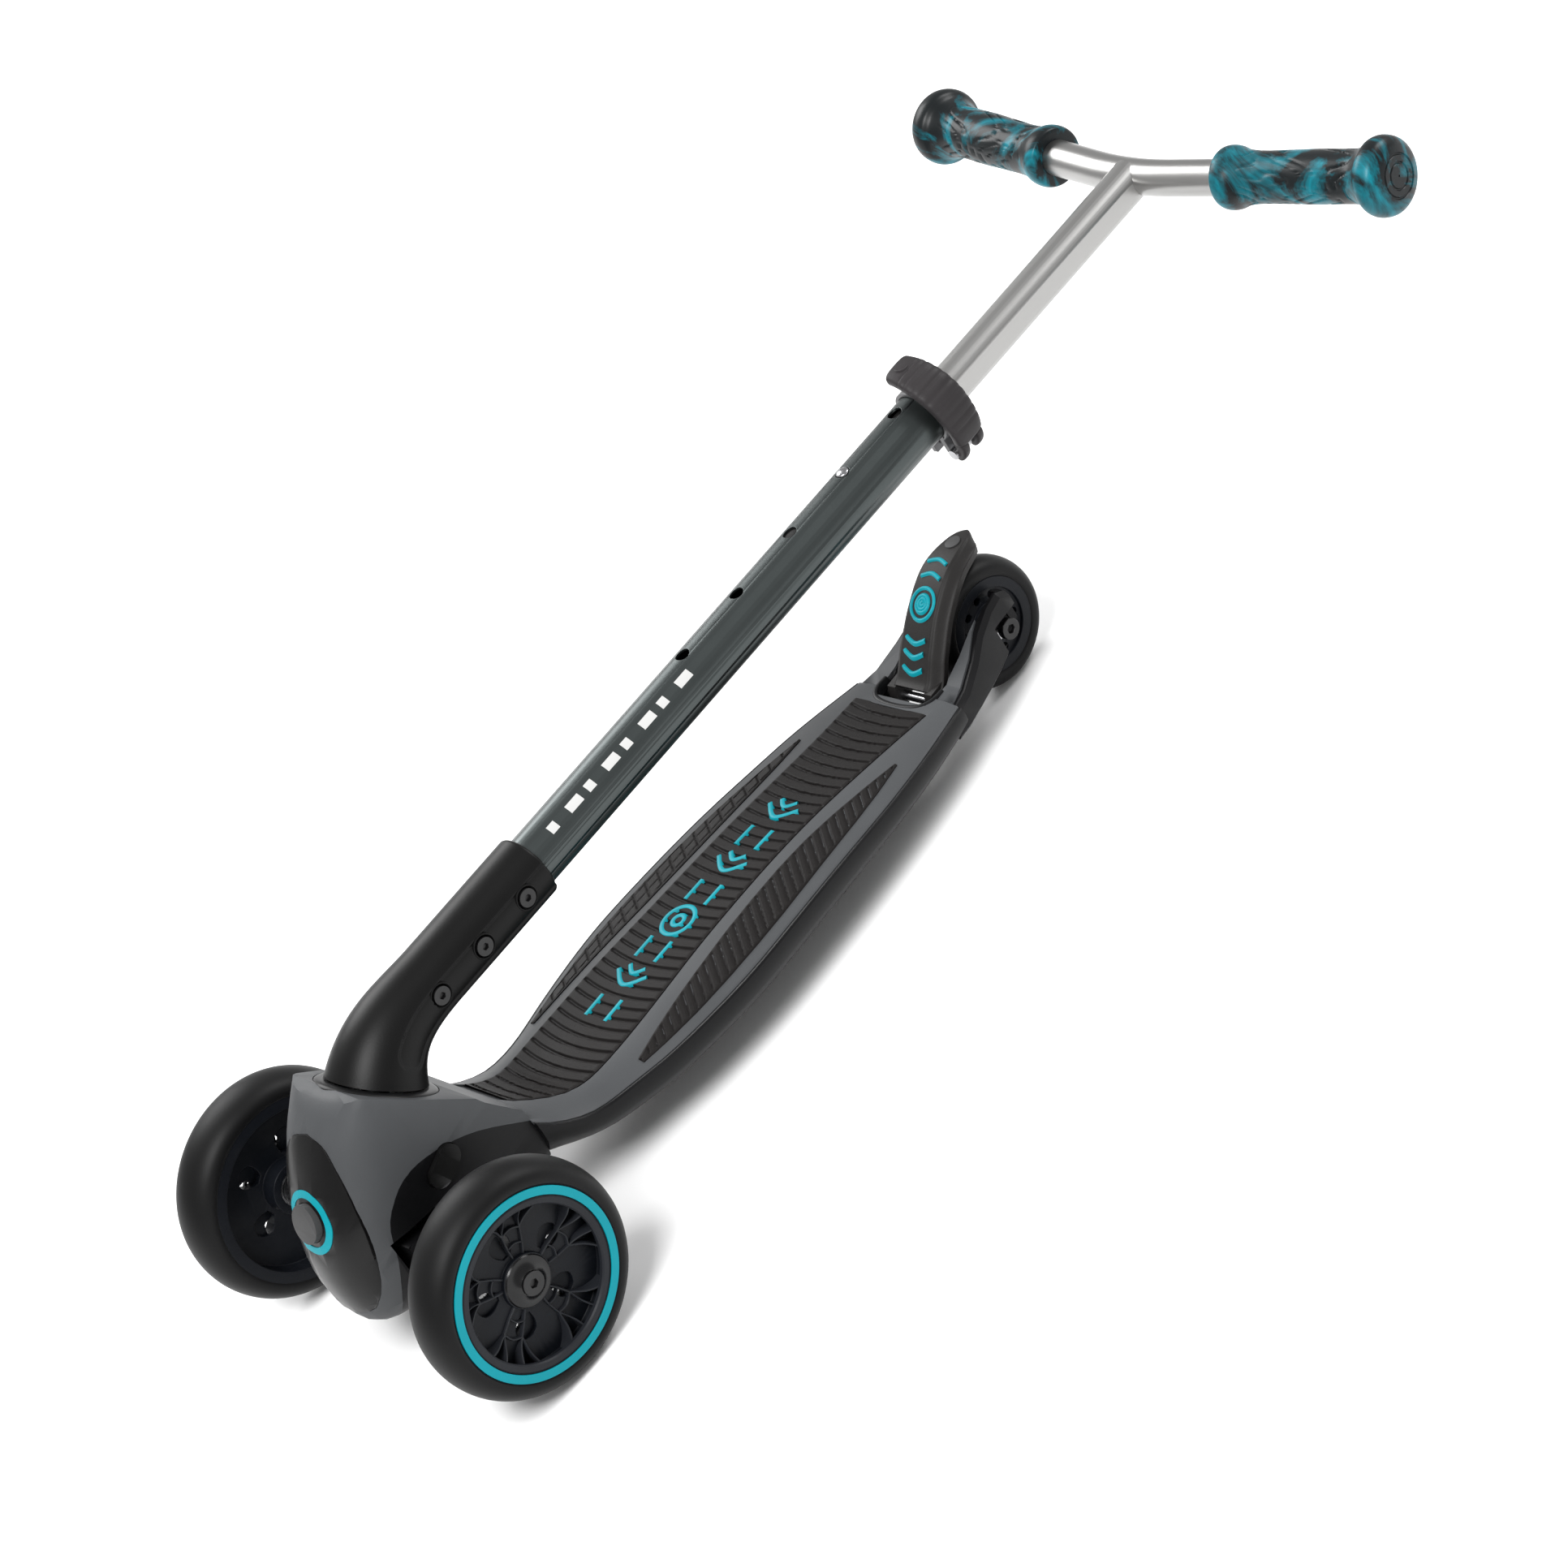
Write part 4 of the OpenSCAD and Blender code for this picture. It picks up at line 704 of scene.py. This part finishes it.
def bars():
    """The two grips, along the handlebar's rising arms."""
    zone = next(m for m in frame["record"]["mounts"] if m["name"] == "bar_clamp_zone")
    rise = math.asin(Vector(zone["axis"]).normalized().dot(TBAR.col[2].to_3d()))
    middle = TBAR @ Vector((0, 0, BAR_APEX))
    for side, s in (("left", 1), ("right", -1)):
        out = TBAR.col[0].to_3d() * s * math.cos(rise)
        along = (out + TBAR.col[2].to_3d() * math.sin(rise)).normalized()
        across = TBAR.col[1].to_3d().normalized()
        m = Matrix((across.cross(along), across, along)).transposed().to_4x4()
        v, f = turned(grip_line(), Matrix.Translation(middle) @ m, 128, grip_swirl)
        piece("grip_sleeve_" + side, v, f, GRIP, "handle", "grip", ["grip_" + side], angle=40)


def bar_size(t):
    return 4.3, 10.2 + 2.3 * math.sin(math.pi * t)


def prong_size(t):
    return 4.4 - 0.4 * t, 3.0


def lever():
    """The cam lever that wraps round the tube: a long rounded bar, two prongs and grip grooves."""
    level = TBAR.inverted() @ ((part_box("clamp_lever")[0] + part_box("clamp_lever")[1]) / 2)
    place = TBAR @ Matrix.Translation(Vector((0, 0, level.z)))
    line = curve([(23.4, 18), (26.4, 9), (26.6, -1), (24, -12), (17.5, -21.5), (9, -27.5), (1, -30.3),
                  (-7.2, -31.4)], 12)
    parts = [bar_loft(line, bar_size, place, 0, grooves=True)]
    prong = curve([(23.9, 15), (22.3, 21), (18.5, 25.5), (13.2, 28.4)], 8)
    for s in (-1, 1):
        parts.append(bar_loft(prong, prong_size, place, 6.5 * s))
    v, f = join(parts)
    piece("lever_body", v, f, LEVER, "lever", "lever", ["clamp_lever"], angle=50)
    tilt = Matrix.Rotation(math.radians(80), 4, "X")
    boss = place @ Matrix.Translation(Vector((0.2, -34.2, 0)) * MM) @ tilt
    ring = [(3.2, -0.6), (3.4, 0.35), (4.1, 0.5), (4.5, 0.3), (4.6, -0.6)]
    piece("lever_boss", *turned(ring, boss, 48), LEVER, "lever", "lever", angle=40)


def bar_loft(line, size, place, level, grooves=False):
    """A rounded bar along a flat line; size gives its half thickness and half height."""
    rows = []
    last = len(line) - 1
    for i, (x, y) in enumerate(line):
        a, b = line[max(i - 1, 0)], line[min(i + 1, last)]
        d = Vector((b[0] - a[0], b[1] - a[1])).normalized()
        side = Vector((-d.y, d.x))
        t = i / last
        end = min(t, 1 - t) * last / 5
        taper = math.sqrt(max(0.02, 1 - (1 - min(end, 1)) ** 2))
        thick, tall = size(t)
        cut = 0
        if grooves and 0.16 < t < 0.8:
            cut = 0.55 * (1 - step(0.08, 0.26, abs((t * 13) % 1 - 0.5)))
        row = []
        for k in range(32):
            q = 2 * math.pi * k / 32
            c, s = math.cos(q), math.sin(q)
            u = thick * math.copysign(abs(c) ** 0.62, c) * taper
            w = tall * math.copysign(abs(s) ** 0.62, s) * taper
            if c > 0:
                u -= cut
            row.append(place @ Vector(((x + side.x * u) * MM, (y + side.y * u) * MM, (w + level) * MM)))
        rows.append(row)
    return weave(rows)


def brake_marks():
    """Teal arcs, a disc and a ring on the foot brake."""
    middle = JOINTS["rear_wheel_spin"]["pos_m"][1] * 1000
    rows = curve(PAD_LINE, 5)

    def up(x, y):
        z = float(np.interp(y - middle, [r[0] for r in rows], [r[1] for r in rows]))
        return z + 2.6 + 1.0 - 0.8 * (x / 19) ** 2

    def foot(x, y):
        return up(x, y) - 3.0

    rest = Matrix.Identity(4)
    parts = []
    for off, way in ((-56, 1), (-49.5, 1), (-43.5, 1), (-10.5, -1), (-1.5, -1)):
        y = middle + off
        line = curve([(-8.2, y + 1.5 * way), (0, y - 0.8 * way), (8.2, y + 1.5 * way)], 8)
        parts.append(strip(line, 2.4, foot, up, rest))
    y = middle - 26
    ring = [(9.6 * math.cos(a), y + 8.0 * math.sin(a)) for a in np.linspace(0, 2 * math.pi, 61)]
    parts.append(strip(ring, 2.0, foot, up, rest))
    for r in (1.2, 3.2, 5.2):
        disc = [(r * math.cos(a), y + r * 0.83 * math.sin(a)) for a in np.linspace(0, 2 * math.pi, 41)]
        parts.append(strip(disc, 2.3, foot, up, rest))
    v, f = join(parts)
    piece("brake_ridges", v, f, TEAL, "brake", "teal", ["brake_inlay"], angle=50)


def bezel():
    """The bevelled black ring round the foot of the stem."""
    joint = JOINTS["fold_turn"]
    axis = Vector(joint["axis"]).normalized()
    side = Vector((1, 0, 0))
    m = Matrix((side, axis.cross(side), axis)).transposed().to_4x4()
    line = curve([(33.8, -6), (35.6, -4), (35.4, -1.4), (34.0, 0.4), (31.4, 1.15), (28.0, 1.2)], 6)
    line.append((28.0, -6))
    place = Matrix.Translation(Vector(joint["pos_m"])) @ m
    piece("collar_ring", *turned(line, place, 128), BEZEL, "chassis", "bezel", ["collar_bezel"], angle=40)


BAR_START = 148
BAR_PITCH = 16.5
BAR_FROM = math.radians(-58)
BAR_TO = math.radians(-38)


def on_tube(radius, angle, z):
    return TBAR @ Vector((radius * math.cos(angle) * MM, radius * math.sin(angle) * MM, z * MM))


def tube_marks():
    """Pale bars printed along the outer tube, low on its left side."""
    parts = []
    for k in range(8):
        z0 = BAR_START + BAR_PITCH * k
        rows = []
        for z in np.linspace(z0, z0 + (11 if k % 2 else 6), 8):
            over = [on_tube(TUBE_R + 0.06, a, z) for a in np.linspace(BAR_FROM, BAR_TO, 9)]
            under = [on_tube(TUBE_R - 0.2, a, z) for a in np.linspace(BAR_TO, BAR_FROM, 9)]
            rows.append(over + under)
        parts.append(weave(rows))
    v, f = join(parts)
    piece("tube_bars", v, f, PRINT, "stem", "silver", angle=50)


# ---- Brake -----------------------------------------------------------------

# The pad's middle line and half width, as [distance behind the rear axle, height, half width].
PAD_LINE = [(-64, 46, 21), (-60, 48, 21), (-55, 53, 20.6), (-50, 58.6, 20.2), (-44, 64.2, 19.8),
            (-38, 69.6, 19.2), (-31.5, 75, 18.8), (-25, 79.6, 18.5), (-17.5, 84.4, 18.2), (-10, 88.2, 17.8),
            (-3, 90.6, 17.0), (4, 91.7, 15.8), (10, 92, 14.4), (16, 91.9, 12.4), (20, 91.5, 10.2),
            (23, 91, 7.6), (25.2, 90.4, 4.4), (26, 90.2, 1.0)]
PAD_CROWN = 2.6
PAD_DROP = 6
PAD_THICK = 4.2
LUG_SIDES = (13, 13.4, 19.4, 19.8)


def pad_point(row, slope, u):
    """A point across the pad: u runs from -1 to 1, and the edges curl down."""
    y, z, half = row
    curl = PAD_DROP * step(0.62, 1.0, abs(u)) + 0.8 * u * u
    line = 0.45 * (1 - step(0.0, 0.05, abs(abs(u) - 0.66)))
    down = curl + line
    return (half * u, y + math.sin(slope) * down, z + PAD_CROWN - math.cos(slope) * down)


def brake_pad():
    """The foot brake: a crowned pad with a rounded tip, on two lugs."""
    middle = JOINTS["rear_wheel_spin"]["pos_m"][1] * 1000
    rows_in = curve(PAD_LINE, 5)
    rows = []
    for i, row in enumerate(rows_in):
        a, b = rows_in[max(i - 1, 0)], rows_in[min(i + 1, len(rows_in) - 1)]
        slope = math.atan2(b[1] - a[1], b[0] - a[0])
        over = [pad_point(row, slope, u) for u in np.linspace(-1, 1, 61)]
        back, fall = math.sin(slope) * PAD_THICK, math.cos(slope) * PAD_THICK
        under = [(x * 0.94, y + back, z - fall) for x, y, z in over[::-1]]
        rows.append([Vector((x * MM, (y + middle) * MM, z * MM)) for x, y, z in over + under])
    parts = [weave(rows)]
    pin = Vector(JOINTS["brake_press"]["pos_m"]) * 1000
    for s in (-1, 1):
        turn = np.linspace(math.radians(170), math.radians(350), 14)
        outline = [(6 * math.cos(a), 6 * math.sin(a)) for a in turn] + [(12, 10), (-3, 9)]
        rows = [[Vector((s * x * MM, (pin.y + y) * MM, (pin.z + z) * MM)) for y, z in outline]
                for x in LUG_SIDES]
        parts.append(weave(rows))
    v, f = join(parts)
    piece("brake_pad", v, f, BRAKE, "brake", "brake", ["brake_lever"], bevel=0.5 * MM, angle=50)


def bracket_foot(x, y):
    return 42.5


def bracket_top(x, y):
    return 49.6 - 0.05 * (y - 65)


def foot_bracket():
    """The black U-shaped lip round the foot of the brake."""
    line = curve([(-25.5, 84), (-24.5, 74), (-17, 67.2), (0, 65), (17, 67.2), (24.5, 74), (25.5, 84)], 8)
    v, f = strip(line, 2.8, bracket_foot, bracket_top, Matrix.Identity(4))
    piece("foot_bracket", v, f, FRAME_BLACK, "chassis", "frame_black", angle=50)


def snap_dome():
    """The chrome dome of the height button in its dark hole."""
    low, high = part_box("snap_button")
    level = TBAR.inverted() @ ((low + high) / 2)
    outward = Matrix.Rotation(math.radians(90), 4, "X")
    place = TBAR @ Matrix.Translation(Vector((0, 0, level.z))) @ outward
    dome = [(4.1, 8), (4.1, 16.2)]
    dome += [(4.1 * math.cos(a), 16.2 + 1.7 * math.sin(a)) for a in np.linspace(0.1, 1.5, 12)]
    dome += [(0.2, 17.9), (0.2, 8)]
    piece("snap_dome", *turned(dome, place, 48), STEEL, "snap_button", "steel", ["snap_button"], angle=40)


PRINT = surface("print_white", (0.78, 0.78, 0.77), 0.5, fleck=0.02)
RIB = surface("rib_black", (0.020, 0.022, 0.027), 0.4, bump=0.1)
HUB = surface("hub_black", (0.005, 0.005, 0.0055), 0.22, coat=0.3)

front_wheel("left", 1)
front_wheel("right", -1)
rear_wheel()
deck()
stem()
bars()
lever()
bezel()
brake_marks()
brake_pad()
foot_bracket()
snap_dome()
tube_marks()
# CAD nodes shown with soft edges: their width in millimetres and the sharpest angle left smooth.
SOFT_EDGES = [
    ("nose_shell", 1.6, 42), ("nose_badge", 0.8, 42), ("badge_ring", 0.4, 35), ("fold_button", 1.2, 35),
    ("steering_lock_button", 1.2, 35), ("brake_cap", 0.4, 35), ("clamp_band", 0.6, 35),
    ("outer_tube", 0.3, 35), ("inner_tube", 0.4, 35), ("handlebar", 0.0, 35), ("top_bushing", 0.4, 35),
    ("stem_bolts", 0.4, 35), ("fold_housing", 0.6, 35), ("truck_beam", 0.8, 35),
    ("knuckle_left", 0.8, 35), ("knuckle_right", 0.8, 35), ("lever_barrel", 0.4, 35),
    ("clamp_bolt", 0.4, 35),
    ("axle_bolt_left", 0.4, 35), ("axle_bolt_right", 0.4, 35), ("rear_axle", 0.4, 35),
]
for node, width, angle in SOFT_EDGES:
    refine(node, width * MM, angle)

# ---- Stage -----------------------------------------------------------------


FLOOR_HALF = 30
# Divided by DEPTH, which every surface is multiplied by.
FLOOR_PALE = 0.868 / DEPTH


def stage():
    """A pale floor, an even white sky and three soft lamps."""
    floor_mesh = bpy.data.meshes.new("floor")
    s = FLOOR_HALF
    floor_mesh.from_pydata([(-s, -s, 0), (s, -s, 0), (s, s, 0), (-s, s, 0)], [], [(0, 1, 2, 3)])
    floor = bpy.data.objects.new("floor", floor_mesh)
    bpy.context.scene.collection.objects.link(floor)
    pale = surface("floor_white", (FLOOR_PALE, FLOOR_PALE, FLOOR_PALE), 0.9, fleck=0.0, bump=0.0, shine=0.0)
    floor_mesh.materials.append(pale)
    world = bpy.data.worlds.new("studio")
    bpy.context.scene.world = world
    world.use_nodes = True
    world.node_tree.nodes["Background"].inputs["Color"].default_value = (1, 1, 1, 1)
    world.node_tree.nodes["Background"].inputs["Strength"].default_value = 0.55
    bpy.context.scene.view_settings.view_transform = "Standard"
    centre = (first_low + first_high) / 2
    for name, offset, size, power in [
        ("key", (1.0, -1.4, 2.4), 1.2, 95),
        ("fill", (-2.2, 0.2, 1.6), 1.4, 55),
        ("back", (0.6, 2.4, 1.8), 1.2, 50),
    ]:
        lamp = bpy.data.lights.new(name, "AREA")
        lamp.size = size
        lamp.energy = power
        o = bpy.data.objects.new(name, lamp)
        bpy.context.scene.collection.objects.link(o)
        o.location = centre + Vector(offset)
        o.rotation_euler = (centre - o.location).to_track_quat("-Z", "Y").to_euler()


def camera():
    """A long lens from the front left and above, turned so that the deck runs up the picture."""
    cam = bpy.data.cameras.new("camera")
    cam.lens = 120
    o = bpy.data.objects.new("camera", cam)
    bpy.context.scene.collection.objects.link(o)
    right = Vector((0.6319, 0.6173, -0.4700)).normalized()
    back = Vector((0.7568, -0.3576, 0.5464)).normalized()
    up = back.cross(right)
    o.matrix_world = Matrix((right, up, back)).transposed().to_4x4()
    # The lens stands this far from the left front wheel's middle, in metres.
    wheel = Vector(JOINTS["wheel_left_spin"]["pos_m"])
    o.location = wheel + Vector((2.1823, -0.7355, 1.6617))
    bpy.context.scene.camera = o


stage()
camera()
